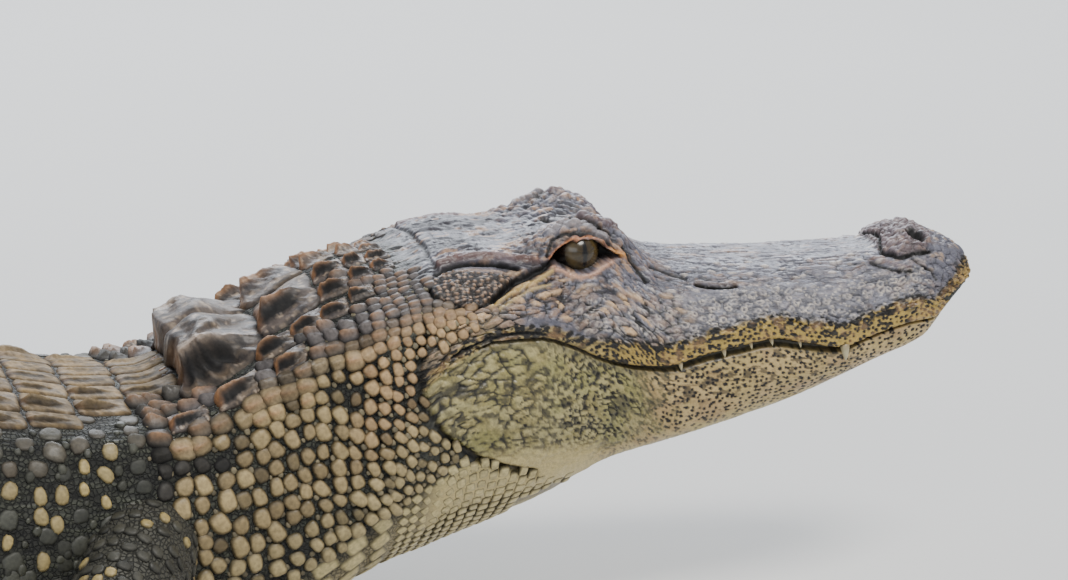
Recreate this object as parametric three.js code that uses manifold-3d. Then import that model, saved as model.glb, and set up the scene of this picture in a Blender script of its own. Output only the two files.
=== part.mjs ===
// American alligator, about 2.4 m long, lying on its belly with head and neck raised.
// Millimetres, +Z up. The snout points along +X, the animal's left is +Y, and the floor is Z = 0.
// The body is drawn by named guide curves. Each gives one measure of the cross-section as a
// function of the distance behind the snout tip, and rings are lofted through them.
import * as THREE from "three";
import { mergeVertices } from "three/addons/utils/BufferGeometryUtils.js";
import Module from "manifold-3d";

const wasm = await Module();
wasm.setup();
const { Manifold, Mesh } = wasm;

// ---------------------------------------------------------------- driving sizes
const LENGTH = 2400; // snout tip to tail tip along the body
const HEAD_END = 352; // the head meets the neck here
const NECK_END = 522;
const TRUNK_MID = 820;
const TRUNK_END = 1150;
const TAIL_CUTS = [1440, 1740, 2060];
const GAP = 0.4; // between neighbouring solids
const ORIGIN_X = 1154.0; // snout tip to the middle of the whole animal's box
const ORIGIN_Y = 1.66;
const EYE_S = 254.6, EYE_Y = 37.5, EYE_Z = 228, EYE_R = 14.5;
const TAIL_BEND_1 = 26, TAIL_BEND_2 = 62; // degrees: tail base to one side, tail tip back to the other

// ---------------------------------------------------------------- guide curves
// heights are above the floor, widths are from the midline
const top = [[-4,196], [-1.7,202], [1.8,207], [8.8,212.5], [24,218.5], [38,222.5], [48,219], [58,213.5], [75,211.5], [135,212.5], [185,215], [205,219], [220,227], [240,236], [256,237], [275,234], [290,233], [310,233.5], [335,234], [350,229], [366,227.5], [386,226], [415,215], [440,199], [480,177], [515,162], [545,163], [575,168], [610,175], [640,179], [760,187], [860,192], [990,190], [1110,179], [1200,161], [1300,146], [1500,120], [1700,98], [1900,79], [2100,59], [2300,35], [2385,19], [2400,13]];
const dorsalWidth = [[-4,4], [-1.7,9], [1.8,13], [8.8,18], [24,23], [38,26], [60,29], [100,33], [150,34], [200,33], [225,34], [246,38], [265,41], [290,46], [345,49], [400,52], [515,56], [700,66], [850,70], [1000,66], [1120,54], [1200,42], [1300,33], [1500,21], [1700,14], [1900,9], [2100,6], [2300,3.5], [2400,1.5]];
const dorsalHeight = [[-4,195.4], [-1.7,200], [1.8,205], [8.8,209.5], [24,214], [38,216.5], [60,209.5], [100,207.5], [150,209], [190,212.5], [205,217.5], [216,226.5], [230,241], [244,248], [256,246.5], [270,240], [285,235], [300,233.5], [320,233], [345,228], [365,220], [400,209], [440,190], [480,168], [515,157], [545,158], [575,163], [610,169], [640,173], [760,181], [860,186], [990,184], [1110,173], [1200,155], [1300,141], [1500,116], [1700,94], [1900,75.5], [2100,56.5], [2300,33.5], [2400,12.5]];
const cheekWidth = [[-4,6], [-1.7,14], [1.8,19.5], [8.8,26.5], [24,35.5], [39,42], [60,43], [93,49], [140,51], [190,52], [225,54], [255,60], [290,72], [320,79], [345,84], [400,84], [450,84], [515,93], [580,101], [700,113], [850,119], [1000,111], [1120,88], [1200,68], [1300,54], [1500,38], [1700,26], [1900,17], [2100,11], [2300,7], [2400,2.2]];
const cheekHeight = [[-4,194.4], [1.8,196], [24,197], [60,196], [93,196], [140,199], [190,203], [225,208], [255,210], [290,213], [320,214], [345,212], [400,196], [450,175], [515,148], [580,149], [700,158], [850,165], [1000,164], [1120,152], [1200,134], [1300,121], [1500,101], [1700,82], [1900,66], [2100,49], [2300,29], [2400,11.5]];
const lipWidth = [[-4,7], [-1.7,16], [3,24], [12.3,33], [25,41], [40,48], [55,51], [70,53.5], [93,60], [117,64], [140,65], [165,66], [190,69], [225,74], [255,80], [290,88], [315,93], [345,97], [400,94], [450,95], [515,105], [580,117], [700,134], [850,143], [1000,134], [1120,104], [1200,80], [1300,66], [1500,47], [1700,33], [1900,22], [2100,15], [2300,9], [2400,3]];
const lipHeight = [[-4,193.4], [3,192], [12,188.5], [25,184], [40,182], [55,180], [73,176.5], [93,172.5], [117,176], [139,180], [161,178], [185,174.5], [205,171.5], [224,174], [250,183], [270,192], [290,199], [315,200], [345,192], [400,160], [450,140], [515,116], [580,116], [700,120], [850,125], [1000,125], [1120,118], [1200,104], [1300,94], [1500,79], [1700,64], [1900,51], [2100,39], [2300,22], [2400,10]];
const mouthWidth = [[-4,6], [-1.7,14.5], [3,22], [12.3,31], [25,39], [40,45.5], [55,49], [70,51.5], [93,58], [117,62], [140,63], [165,64], [190,67], [225,72], [255,78.5], [290,87], [315,92], [345,97], [400,97], [450,99], [515,110], [580,123], [700,143], [850,152], [1000,142], [1120,110], [1200,85], [1300,71], [1500,51], [1700,36], [1900,25], [2100,17], [2300,10], [2400,3]];
const mouthHeight = [[-4,192.4], [-0.5,191], [3,189.6], [8.5,186.8], [15.7,182.6], [21,178.6], [26,174.8], [31,173], [40,173], [54,171.5], [73,167], [93,162.5], [117,167], [139,171], [161,168], [185,164.5], [203,161], [224,163.5], [250,172], [269,182], [289,189], [315,190], [335,185], [345,180], [370,158], [400,135], [450,112], [515,88], [580,84], [700,85], [850,85], [1000,85], [1120,84], [1200,75], [1300,68], [1500,57], [1700,46], [1900,36], [2100,28], [2300,16], [2400,8.5]];
const jawWidth = [[-4,4.5], [-1.7,11], [3,17], [12.3,25], [25,33], [40,39.5], [55,44], [70,46.5], [93,52], [117,57], [140,59], [165,60.5], [190,63], [225,70], [255,79], [290,91], [315,97], [335,99], [350,98], [400,98], [450,99], [515,107], [580,121], [700,141], [850,150], [1000,138], [1120,106], [1200,82], [1300,68], [1500,48], [1700,34], [1900,23], [2100,15.5], [2300,9], [2400,2.7]];
const jawHeight = [[-4,191.9], [-0.5,189.8], [3,188], [8.5,184.6], [15.7,179.6], [21,174.8], [27,168.2], [33,163.2], [55,157.5], [93,148], [140,144.5], [190,138.5], [225,137], [255,138], [290,142], [315,146], [345,138], [370,115], [400,92], [450,66], [515,50], [580,44], [700,42], [850,40], [1000,40], [1120,40], [1200,38], [1300,36], [1500,31], [1700,25], [1900,20], [2100,16], [2300,9], [2400,7]];
const keelWidth = [[-4,3], [-1.7,7], [3,11], [12.3,17], [25,23], [63,31], [116,42], [155,48], [194,54], [234,60], [260,66], [290,74], [313,80], [345,82], [400,78], [450,80], [515,90], [580,101], [700,119], [850,126], [1000,115], [1120,86], [1200,62], [1300,50], [1500,34], [1700,24], [1900,16], [2100,11], [2300,6], [2400,2]];
const keelHeight = [[-4,191.5], [-0.5,189], [3,186.8], [8.5,182.9], [15.7,177.3], [21,171.8], [27,163.6], [33,157.8], [63,147.5], [116,131.5], [155,123], [194,116], [234,109.5], [260,106], [290,104], [313,104], [335,101], [350,92], [380,68], [420,40], [460,20], [500,9], [540,4], [600,3], [1120,3], [1200,4], [1500,6], [1900,4], [2300,2.5], [2400,5]];
const bellyHeight = [[-4,191.2], [-0.5,188.6], [3,186.2], [8.5,181.8], [15.7,175.8], [21,170], [27,161.4], [33,155.4], [63,144.5], [116,128], [155,121], [194,113.5], [225,108], [240,100], [252,86], [268,73], [300,60], [345,44], [400,26], [450,10], [490,0], [520,-4], [2300,-2], [2400,4]];

// smooth curve through a guide's stations, without overshoot
function guide(tab) {
  const n = tab.length, X = tab.map((p) => p[0]), Y = tab.map((p) => p[1]);
  const h = [], d = [], m = new Array(n).fill(0);
  for (let i = 0; i < n - 1; i++) { h.push(X[i + 1] - X[i]); d.push((Y[i + 1] - Y[i]) / h[i]); }
  m[0] = d[0]; m[n - 1] = d[n - 2];
  for (let i = 1; i < n - 1; i++)
    if (d[i - 1] * d[i] > 0) {
      const a = 2 * h[i] + h[i - 1], b = h[i] + 2 * h[i - 1];
      m[i] = (a + b) / (a / d[i - 1] + b / d[i]);
    }
  return (s) => {
    s = Math.min(Math.max(s, X[0]), X[n - 1]);
    let i = 0;
    while (i < n - 2 && s >= X[i + 1]) i++;
    const u = (s - X[i]) / h[i], u2 = u * u, u3 = u2 * u;
    return (2*u3-3*u2+1)*Y[i] + (u3-2*u2+u)*h[i]*m[i] + (-2*u3+3*u2)*Y[i+1] + (u3-u2)*h[i]*m[i+1];
  };
}
const zero = () => 0;
const WIDTHS = [zero, guide(dorsalWidth), guide(cheekWidth), guide(lipWidth), guide(mouthWidth), guide(jawWidth), guide(keelWidth), zero];
const HEIGHTS = [guide(top), guide(dorsalHeight), guide(cheekHeight), guide(lipHeight), guide(mouthHeight), guide(jawHeight), guide(keelHeight), guide(bellyHeight)];

// half section at s: v runs 0 at the top midline, 1 dorsal edge, 2 cheek, 3 lip, 4 mouth line, 5 jaw, 6 keel, 7 bottom midline
function halfSection(s, v) {
  const Y = WIDTHS.map((f) => f(s)), Z = HEIGHTS.map((f) => f(s));
  const Yf = [-Y[1], ...Y, -Y[6]], Zf = [Z[1], ...Z, Z[6]];
  const h = [];
  for (let i = 0; i < 9; i++) h.push(Math.hypot(Yf[i + 1] - Yf[i], Zf[i + 1] - Zf[i]) + 1e-6);
  const tan = (F, k) => {
    const a = (F[k + 1] - F[k]) / h[k], b = (F[k + 2] - F[k + 1]) / h[k + 1];
    return (a * h[k + 1] + b * h[k]) / (h[k] + h[k + 1]);
  };
  const i = Math.min(6, Math.floor(v)), u = v - i, u2 = u * u, u3 = u2 * u, H = h[i + 1];
  const at = (P, F) => (2*u3-3*u2+1)*P[i] + (u3-2*u2+u)*H*tan(F,i) + (-2*u3+3*u2)*P[i+1] + (u3-u2)*H*tan(F,i+1);
  return [at(Y, Yf), at(Z, Zf)];
}

// the body's line seen from above: straight to the hips, then the tail in an S
const smooth = (a, b, s) => { const t = Math.min(1, Math.max(0, (s - a) / (b - a))); return t * t * (3 - 2 * t); };
const headingAt = (s) => THREE.MathUtils.degToRad(TAIL_BEND_1 * smooth(TRUNK_END, 1500, s) - TAIL_BEND_2 * smooth(1560, 2330, s));
const LINE = [[0, 0]];
for (let s = 0; s < LENGTH; s++) {
  const p = LINE[s], a = headingAt(s);
  LINE.push([p[0] - Math.cos(a), p[1] + Math.sin(a)]);
}
function place(s, y, z) {
  const i = Math.max(0, Math.min(LENGTH - 1, Math.floor(s))), f = s - i, a = headingAt(s);
  const cx = LINE[i][0] + (LINE[i + 1][0] - LINE[i][0]) * f, cy = LINE[i][1] + (LINE[i + 1][1] - LINE[i][1]) * f;
  return new THREE.Vector3(cx + y * Math.sin(a), cy + y * Math.cos(a), z);
}

// ---------------------------------------------------------------- solids
function solid(geometry) {
  const g = geometry.clone();
  for (const name of Object.keys(g.attributes)) if (name !== "position") g.deleteAttribute(name);
  const m = mergeVertices(g, 1e-4);
  const tri = new Uint32Array(m.index.array), pos = new Float32Array(m.attributes.position.array);
  let volume = 0;
  const a = new THREE.Vector3(), b = new THREE.Vector3(), c = new THREE.Vector3();
  for (let i = 0; i < tri.length; i += 3) {
    a.fromArray(pos, tri[i] * 3); b.fromArray(pos, tri[i + 1] * 3); c.fromArray(pos, tri[i + 2] * 3);
    volume += a.dot(b.cross(c));
  }
  if (volume < 0) for (let i = 0; i < tri.length; i += 3) [tri[i + 1], tri[i + 2]] = [tri[i + 2], tri[i + 1]];
  return new Manifold(new Mesh({ numProp: 3, vertProperties: pos, triVerts: tri }));
}
// a capped tube whose rings are given by ringPoint(station index, corner index)
function loft(stations, corners, ringPoint) {
  const g = new THREE.CylinderGeometry(1, 1, 1, corners, stations - 1, false);
  const p = g.attributes.position, rings = [];
  for (let i = 0; i < stations; i++) {
    const ring = [];
    for (let k = 0; k < corners; k++) ring.push(ringPoint(i, k));
    rings.push(ring);
  }
  const v = new THREE.Vector3();
  for (let i = 0; i < p.count; i++) {
    v.fromBufferAttribute(p, i);
    const row = Math.round((0.5 - v.y) * (stations - 1));
    const ring = rings[row];
    if (Math.hypot(v.x, v.z) < 0.5) {
      v.set(0, 0, 0);
      for (const q of ring) v.add(q);
      v.divideScalar(corners);
    } else {
      const k = Math.round((Math.atan2(v.x, v.z) / (2 * Math.PI)) * corners);
      v.copy(ring[((k % corners) + corners) % corners]);
    }
    p.setXYZ(i, v.x, v.y, v.z);
  }
  return g;
}
const spaced = (a, b, n) => Array.from({ length: n }, (_, i) => a + ((b - a) * i) / (n - 1));

// corners of a closed ring as [v, side], up the right side, over the back and down the left side
function ringOf(vs) {
  const down = vs.filter((v) => v > 0 && v < 7).map((v) => [v, 1]);
  const up = down.map(([v]) => [v, -1]).reverse();
  return [...up, ...(vs.includes(0) ? [[0, 1]] : []), ...down, ...(vs.includes(7) ? [[7, 1]] : [])];
}
function bodyLoft(stations, vs, grow = 0) {
  const ring = ringOf(vs);
  return solid(loft(stations.length, ring.length, (i, k) => {
    const s = stations[i], [v, side] = ring[k];
    let [y, z] = halfSection(s, v);
    if (grow) {
      const mid = (HEIGHTS[0](s) + HEIGHTS[7](s)) / 2, r = Math.hypot(y, z - mid);
      y += (grow * y) / r; z += (grow * (z - mid)) / r;
    }
    return place(s, side * y, z);
  }));
}
// everything above the floor
const onFloor = (m) => m.trimByPlane([0, 0, 1], 0);

// height of the back at s and y
function backHeight(s, y) {
  let lo = 0, hi = 2.5;
  for (let i = 0; i < 24; i++) { const mid = (lo + hi) / 2; if (halfSection(s, mid)[0] < Math.abs(y)) lo = mid; else hi = mid; }
  return halfSection(s, lo);
}
// a keeled bony scute: a four-sided pyramid, its ridge point set back
function scute(s, y, length, width, height) {
  const g = new THREE.ConeGeometry(1, 1, 4, 1, false);
  const [yy, z] = backHeight(s, y);
  const [y2, z2] = backHeight(s, Math.abs(y) + 4);
  const lean = Math.atan2(z - z2, Math.max(0.5, y2 - yy)) * Math.sign(y || 1) * (y ? 1 : 0);
  const slope = Math.atan2(HEIGHTS[1](s + 15) - HEIGHTS[1](s - 15), 30);
  g.rotateX(Math.PI / 2);
  const p = g.attributes.position, v = new THREE.Vector3();
  for (let i = 0; i < p.count; i++) {
    v.fromBufferAttribute(p, i);
    const peak = v.z > 0;
    v.set(v.x * length * 0.56 - (peak ? length * 0.2 : 0), v.y * width * 0.52, peak ? height : -7);
    p.setXYZ(i, v.x, v.y, v.z);
  }
  g.rotateX(-lean);
  g.rotateY(slope);
  const a = headingAt(s);
  g.rotateZ(-a);
  const c = place(s, y, z);
  g.translate(c.x, c.y, c.z);
  return solid(g);
}
// saw-toothed crest along the tail, at the given side offset
function crest(s0, s1, pitch, heightAt, offset, thick) {
  const shape = new THREE.Shape(), pts = [], n = Math.max(1, Math.round((s1 - s0) / pitch));
  const step = (s1 - s0) / n;
  for (let i = 0; i < n; i++) {
    const a = s0 + i * step;
    pts.push([a + 0.02 * step, heightAt(a) * 0.18], [a + 0.95 * step, heightAt(a)]);
  }
  shape.moveTo(s0, -8);
  for (const [x, y] of pts) shape.lineTo(x, y);
  for (let i = n; i > 0; i--) shape.lineTo(s0 + i * step, -8);
  shape.closePath();
  const g = new THREE.ExtrudeGeometry(shape, { depth: thick, bevelEnabled: false });
  const p = g.attributes.position;
  for (let i = 0; i < p.count; i++) {
    const s = Math.min(LENGTH - 1, p.getX(i)), up = p.getY(i), side = p.getZ(i) - thick / 2;
    const y = offset ? Math.sign(offset) * (WIDTHS[1](s) - 2) : 0;
    const base = offset ? HEIGHTS[1](s) : HEIGHTS[0](s);
    const q = place(s, y + side * Math.min(1, WIDTHS[4](s) / 9) * (up > 0 ? 0.6 : 1), base + (up > 0 ? up : up * Math.min(1, base / 45)));
    p.setXYZ(i, q.x, q.y, q.z);
  }
  return solid(g);
}
// a limb: tapered tube through joints, each [s, y, z, half width, half height]
function limb(joints, stations, corners) {
  const curve = new THREE.CatmullRomCurve3(joints.map(([s, y, z]) => place(s, y, z)), false, "centripetal");
  const size = new THREE.CatmullRomCurve3(joints.map(([, , , w, h]) => new THREE.Vector3(w, h, 0)), false, "catmullrom");
  const upAxis = new THREE.Vector3(0, 0, 1);
  return solid(loft(stations, corners, (i, k) => {
    const t = i / (stations - 1), at = curve.getPoint(t), dir = curve.getTangent(t), r = size.getPoint(t);
    const side = new THREE.Vector3().crossVectors(upAxis, dir).normalize();
    const up = new THREE.Vector3().crossVectors(dir, side).normalize();
    const a = (k / corners) * 2 * Math.PI;
    return at.addScaledVector(side, Math.cos(a) * r.x).addScaledVector(up, Math.sin(a) * r.y);
  }));
}
const ball = (s, y, z, rx, ry, rz, turn = 0, seg = 12) => {
  const g = new THREE.SphereGeometry(1, seg, Math.max(6, seg - 4));
  g.rotateX(Math.PI / 2);
  g.scale(rx, ry, rz);
  g.rotateZ(turn);
  const c = place(s, y, z);
  g.translate(c.x, c.y, c.z);
  return solid(g);
};

// ---------------------------------------------------------------- materials
const mat = (color, roughness, metalness = 0) => new THREE.MeshStandardMaterial({ color, roughness, metalness });
const hide = mat(0x3f3a33, 0.6), jawSkin = mat(0xb09a66, 0.55), tailHide = mat(0x36332e, 0.62), legHide = mat(0x3a372f, 0.62);
const eyeSurface = mat(0x4c4731, 0.1), clawHorn = mat(0x1d1a17, 0.4);

const group = new THREE.Group();
group.position.set(ORIGIN_X, ORIGIN_Y, 0);
function add(name, manifold, material) {
  const got = manifold.simplify(0.38).getMesh(), n = got.numProp, xyz = new Float32Array(got.numVert * 3);
  for (let i = 0; i < got.numVert; i++) for (let k = 0; k < 3; k++) xyz[i * 3 + k] = got.vertProperties[i * n + k];
  const g = new THREE.BufferGeometry();
  g.setAttribute("position", new THREE.BufferAttribute(xyz, 3));
  g.setIndex(new THREE.BufferAttribute(got.triVerts, 1));
  g.computeVertexNormals();
  const mesh = new THREE.Mesh(g, material);
  mesh.name = name;
  group.add(mesh);
}
// the largest body of a solid that a cut has left in several
const biggest = (m) => m.decompose().sort((p, q) => q.volume() - p.volume())[0];

// ---------------------------------------------------------------- head
const headStations = [-3.8, -2, 1.5, 7, 14, 24, 33, 43, 54, 66, 79, 93, 108, 125, 143, 163, 183, 200, 214, 226, 237, 247, 258, 270, 283, 299, 318, 337, HEAD_END - GAP / 2];
const upperVs = [0, 0.55, 1, 1.5, 2, 2.5, 3, 3.6];
const mouthGap = (s) => 0.5 + 1.3 * smooth(90, 150, s) * (1 - smooth(225, 265, s));
// upper jaw and skull: the ring closes across the palate, a little above the mouth line
const upperRing = [...upperVs.slice(1).map((v) => [v, -1]).reverse(), [0, 1], ...upperVs.slice(1).map((v) => [v, 1]), "left", "palate", "right"];
const lineAt = (s, inset) => Math.max(0.6, WIDTHS[4](s) - inset);
let head = solid(loft(headStations.length, upperRing.length, (i, k) => {
  const s = headStations[i], c = upperRing[k];
  if (c === "left") return place(s, lineAt(s, 1), HEIGHTS[4](s) + mouthGap(s));
  if (c === "right") return place(s, -lineAt(s, 1), HEIGHTS[4](s) + mouthGap(s));
  if (c === "palate") return place(s, 0, HEIGHTS[4](s) + mouthGap(s) + Math.min(5, WIDTHS[4](s) * 0.1));
  const [y, z] = halfSection(s, c[0]);
  return place(s, c[1] * y, z);
}));
// nasal rims, brow scales
for (const side of [-1, 1]) {
  head = head.add(ball(37, side * 15, 217, 13, 9, 7.5, 0, 8));
  head = head.add(ball(245, side * 33, 241, 24, 10, 8, 0, 8));
}
for (const side of [-1, 1]) {
  head = head.subtract(ball(EYE_S, side * EYE_Y, EYE_Z, EYE_R + GAP, EYE_R + GAP, EYE_R + GAP, 0, 12));
  head = head.subtract(ball(31, side * 14.5, 224.5, 5.5, 2.4, 5, side * 0.5, 8));
}
// upper teeth that show outside the closed lower jaw
const TEETH = [[92, 9, 3.0], [140, 6, 2.0], [170, 6, 2.2], [198, 6, 2.2]];
const tooth = (s, side, length, radius, grow) => {
  const g = new THREE.ConeGeometry(radius + grow, length + 6 + grow, 6, 1);
  g.rotateX(-Math.PI / 2);
  const c = place(s, side * (WIDTHS[4](s) - 3), HEIGHTS[4](s) + mouthGap(s) + 3 - (length + 6 + grow) / 2 + 3);
  g.translate(c.x, c.y, c.z);
  return solid(g);
};
for (const side of [-1, 1]) for (const [s, l, r] of TEETH) head = head.add(tooth(s, side, l, r, 0));
head = biggest(head);
add("head", head, hide);

// lower jaw: the ring closes across the floor of the mouth, a little below the mouth line
const jawStations = [22.5, 25, 30, 40, 56, 74, 93, 115, 138, 162, 186, 208, 226, 242, 258, 275, 293, 311, 330, HEAD_END - GAP / 2];
const lowerVs = [4.45, 5, 5.5, 6.1];
const lowerRing = [...lowerVs.map((v) => [v, 1]), [7, 1], ...lowerVs.map((v) => [v, -1]).reverse(), "right", "floor", "left"];
let jaw = solid(loft(jawStations.length, lowerRing.length, (i, k) => {
  const s = jawStations[i], c = lowerRing[k];
  if (c === "left") return place(s, lineAt(s, 2.5), HEIGHTS[4](s) - mouthGap(s));
  if (c === "right") return place(s, -lineAt(s, 2.5), HEIGHTS[4](s) - mouthGap(s));
  if (c === "floor") return place(s, 0, HEIGHTS[4](s) - mouthGap(s) - Math.min(3, WIDTHS[4](s) * 0.06));
  const [y, z] = halfSection(s, c[0]);
  return place(s, c[1] * y, z);
}));
for (const side of [-1, 1]) for (const [s, l, r] of TEETH) jaw = jaw.subtract(tooth(s, side, l, r, 0.5));
add("lower_jaw", jaw, jawSkin);

// eyes
for (const side of [-1, 1]) add(side < 0 ? "eye_right" : "eye_left", ball(EYE_S, side * EYE_Y, EYE_Z, EYE_R, EYE_R, EYE_R, 0, 12), eyeSurface);

// ---------------------------------------------------------------- neck, with its large keeled scutes
const fullVs = [0, 0.6, 1.2, 1.9, 2.7, 3.5, 4.3, 5.2, 6, 7];
const neckStations = spaced(HEAD_END + GAP / 2, NECK_END - GAP / 2, 10);
let neck = bodyLoft(neckStations, fullVs);
const NECK_SCUTES = [[370, 10, 18, 15, 4], [370, 28, 18, 15, 4], [385, 13, 20, 18, 6], [385, 36, 20, 18, 6], [403, 16, 24, 24, 7], [405, 44, 24, 20, 6], [427, 24, 38, 44, 11], [432, 64, 28, 22, 8], [470, 30, 50, 56, 19], [476, 76, 28, 22, 8], [507, 14, 27, 26, 5], [507, 43, 27, 24, 5]];
for (const [s, y, l, w, h] of NECK_SCUTES) for (const side of [-1, 1]) neck = neck.add(scute(s, side * y, l, w, h));
add("neck", onFloor(neck.trimByPlane([-1, 0, 0], HEAD_END + GAP / 2).trimByPlane([1, 0, 0], -(NECK_END - GAP / 2))), hide);

// ---------------------------------------------------------------- trunk, with rows of keeled scutes
const SCUTE_PITCH = 38;
const rowsOf = (a, b) => { const r = []; for (let s = 541; s < TRUNK_END; s += SCUTE_PITCH) if (s > a && s < b) r.push(s); return r; };
function trunk(a, b) {
  let m = bodyLoft(spaced(a, b, 7), fullVs);
  for (const s of rowsOf(a, b))
    for (const f of [0.3, 0.95]) {
      const y = WIDTHS[1](s) * f;
      for (const side of [-1, 1]) m = m.add(scute(s, side * y, SCUTE_PITCH * 0.86, WIDTHS[1](s) * 0.5, 7 - f));
    }
  return onFloor(m.trimByPlane([-1, 0, 0], a).trimByPlane([1, 0, 0], -b));
}
add("trunk_front", trunk(NECK_END + GAP / 2, TRUNK_MID - GAP / 2), hide);
add("trunk_rear", trunk(TRUNK_MID + GAP / 2, TRUNK_END - GAP / 2), hide);

// ---------------------------------------------------------------- tail, with its double then single crest
const TAIL_PITCH = 30;
const doubleHeight = (s) => 6 + 16 * smooth(1150, 1500, s) + 3 * smooth(1500, 1720, s);
const singleHeight = (s) => 25 * (1 - 0.72 * smooth(1760, 2380, s));
const tailVs = [0, 1, 2, 3.4, 4.8, 6, 7];
const tailEnds = [TRUNK_END, ...TAIL_CUTS, LENGTH - 1];
for (let i = 0; i < 4; i++) {
  const a = tailEnds[i] + GAP / 2, b = tailEnds[i + 1] - GAP / 2;
  let m = bodyLoft(spaced(a, b, i === 3 ? 9 : 7), tailVs);
  if (a < 1720) for (const side of [-1, 1]) m = m.add(crest(a + 1, Math.min(b - 1, 1725), TAIL_PITCH, doubleHeight, side, 5));
  if (b > 1760) m = m.add(crest(Math.max(a + 1, 1742), Math.min(b - 1, 2368), TAIL_PITCH * (i === 3 ? 0.85 : 1), singleHeight, 0, 5));
  add("tail_" + (i + 1), biggest(onFloor(m)), tailHide);
}

// ---------------------------------------------------------------- legs
// the body's outside, a little swollen, is cut from each leg so that the two only meet
const swollen = bodyLoft(spaced(430, 1240, 24), fullVs, 0.9);
// joints are [s, y, z, half width, half height]; s is measured behind the snout tip
function leg(side, name, upper, lower, palm, toes, bendAt, clawNames) {
  const j = (q) => q.map(([s, y, z, w, h]) => [s, side * y, z, w, h]);
  let m = limb(j(upper.concat(lower)), 12, 9);
  m = m.add(ball(palm[0], side * palm[1], palm[2], palm[3], palm[4], palm[5], side * palm[6], 8));
  const claws = [];
  toes.forEach(([len, ang, rad, lift], i) => {
    const a = ang * side, dx = Math.cos(a), dy = Math.sin(a);
    const p0 = [palm[0] - dx * palm[3] * 0.35, side * palm[1] + dy * palm[3] * 0.35];
    const at = (d, z, w, h) => [p0[0] - dx * d, p0[1] + dy * d, z, w, h];
    m = m.add(limb([at(0, palm[2], rad * 1.25, rad), at(len * 0.45, palm[2] + lift, rad * 1.1, rad), at(len * 0.8, rad * 1.1, rad, rad * 0.95), at(len, rad * 0.8, rad * 0.72, rad * 0.7)], 4, 6));
    if (i < 3) {
      // horn claw past the toe's end, curving down
      const c = limb([at(len + GAP, rad * 0.85, rad * 0.62, rad * 0.6), at(len + rad * 1.4, rad * 0.95, rad * 0.45, rad * 0.45), at(len + rad * 2.9, rad * 0.4, rad * 0.12, rad * 0.14)], 4, 5);
      claws.push([clawNames + (i + 1), onFloor(c), [p0, [dx, dy], len]]);
    }
  });
  // toe webs are thin plates between the toes, part of the foot
  m = onFloor(m.subtract(swollen));
  // nothing of the toe passes the claw's base
  for (const [, , [p0, d, len]] of claws) {
    const c = place(p0[0] - d[0] * (len + 30), p0[1] + d[1] * (len + 30), 10);
    const box = new THREE.BoxGeometry(60 - GAP * 0.2, 9, 40);
    box.rotateZ(Math.atan2(d[1], d[0]));
    box.translate(c.x, c.y, c.z);
    m = m.subtract(solid(box));
  }
  const body = biggest(m);
  // part it at the elbow or knee
  const [bs, by, bz, nx, ny, nz] = bendAt;
  const n = new THREE.Vector3(nx, side * ny, nz).normalize(), at = place(bs, side * by, bz), off = n.dot(at);
  add(name + "_lower", biggest(body.trimByPlane([n.x, n.y, n.z], off + GAP / 2)), legHide);
  add(name + "_upper", biggest(body.trimByPlane([-n.x, -n.y, -n.z], -off + GAP / 2)), legHide);
  for (const [cn, c] of claws) add(cn, c, clawHorn);
}
const FRONT_TOES = [[40, -0.45, 6.5, 2], [50, -0.12, 6.8, 3], [52, 0.22, 6.6, 3], [45, 0.58, 5.6, 2], [34, 1.0, 5.0, 1]];
const HIND_TOES = [[62, -0.3, 8, 3], [80, -0.05, 8.4, 4], [82, 0.22, 8, 4], [72, 0.52, 6.6, 2]];
// side, name, shoulder to elbow, elbow to wrist, palm, toes, the parting plane at the bend
leg(-1, "foreleg_right",
  [[520, 60, 88, 40, 42], [535, 112, 76, 33, 36], [556, 148, 61, 27, 30]],
  [[572, 172, 48, 23, 25], [548, 190, 36, 20, 22], [506, 202, 15, 18, 12]],
  [496, 204, 11, 25, 19, 11, 0.25], FRONT_TOES.map(([l, a, r, f]) => [l, a + 0.25, r, f]), [574, 168, 50, 0.55, 0.8, -0.35], "claw_front_right_");
leg(1, "foreleg_left",
  [[520, 60, 88, 40, 42], [528, 112, 76, 33, 36], [540, 150, 61, 27, 30]],
  [[548, 176, 48, 23, 25], [516, 192, 36, 20, 22], [472, 202, 15, 18, 12]],
  [462, 203, 11, 25, 19, 11, 0.2], FRONT_TOES.map(([l, a, r, f]) => [l, a + 0.2, r, f]), [552, 172, 50, 0.55, 0.8, -0.35], "claw_front_left_");
leg(-1, "hindleg_right",
  [[1105, 45, 96, 62, 60], [1080, 110, 96, 52, 52], [1050, 165, 86, 40, 42]],
  [[1040, 204, 66, 32, 32], [1085, 226, 46, 27, 27], [1124, 238, 18, 22, 15]],
  [1098, 246, 12, 40, 25, 12, 0.2], HIND_TOES.map(([l, a, r, f]) => [l, a + 0.3, r, f]), [1040, 194, 68, -0.25, 0.9, -0.3], "claw_hind_right_");
leg(1, "hindleg_left",
  [[1105, 45, 96, 62, 60], [1096, 112, 96, 52, 52], [1082, 165, 84, 40, 42]],
  [[1080, 204, 64, 32, 32], [1130, 222, 44, 27, 27], [1174, 232, 18, 22, 15]],
  [1150, 240, 12, 40, 25, 12, 0.25], HIND_TOES.map(([l, a, r, f]) => [l, a + 0.35, r, f]), [1080, 194, 66, -0.25, 0.9, -0.3], "claw_hind_left_");

export default group;
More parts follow.
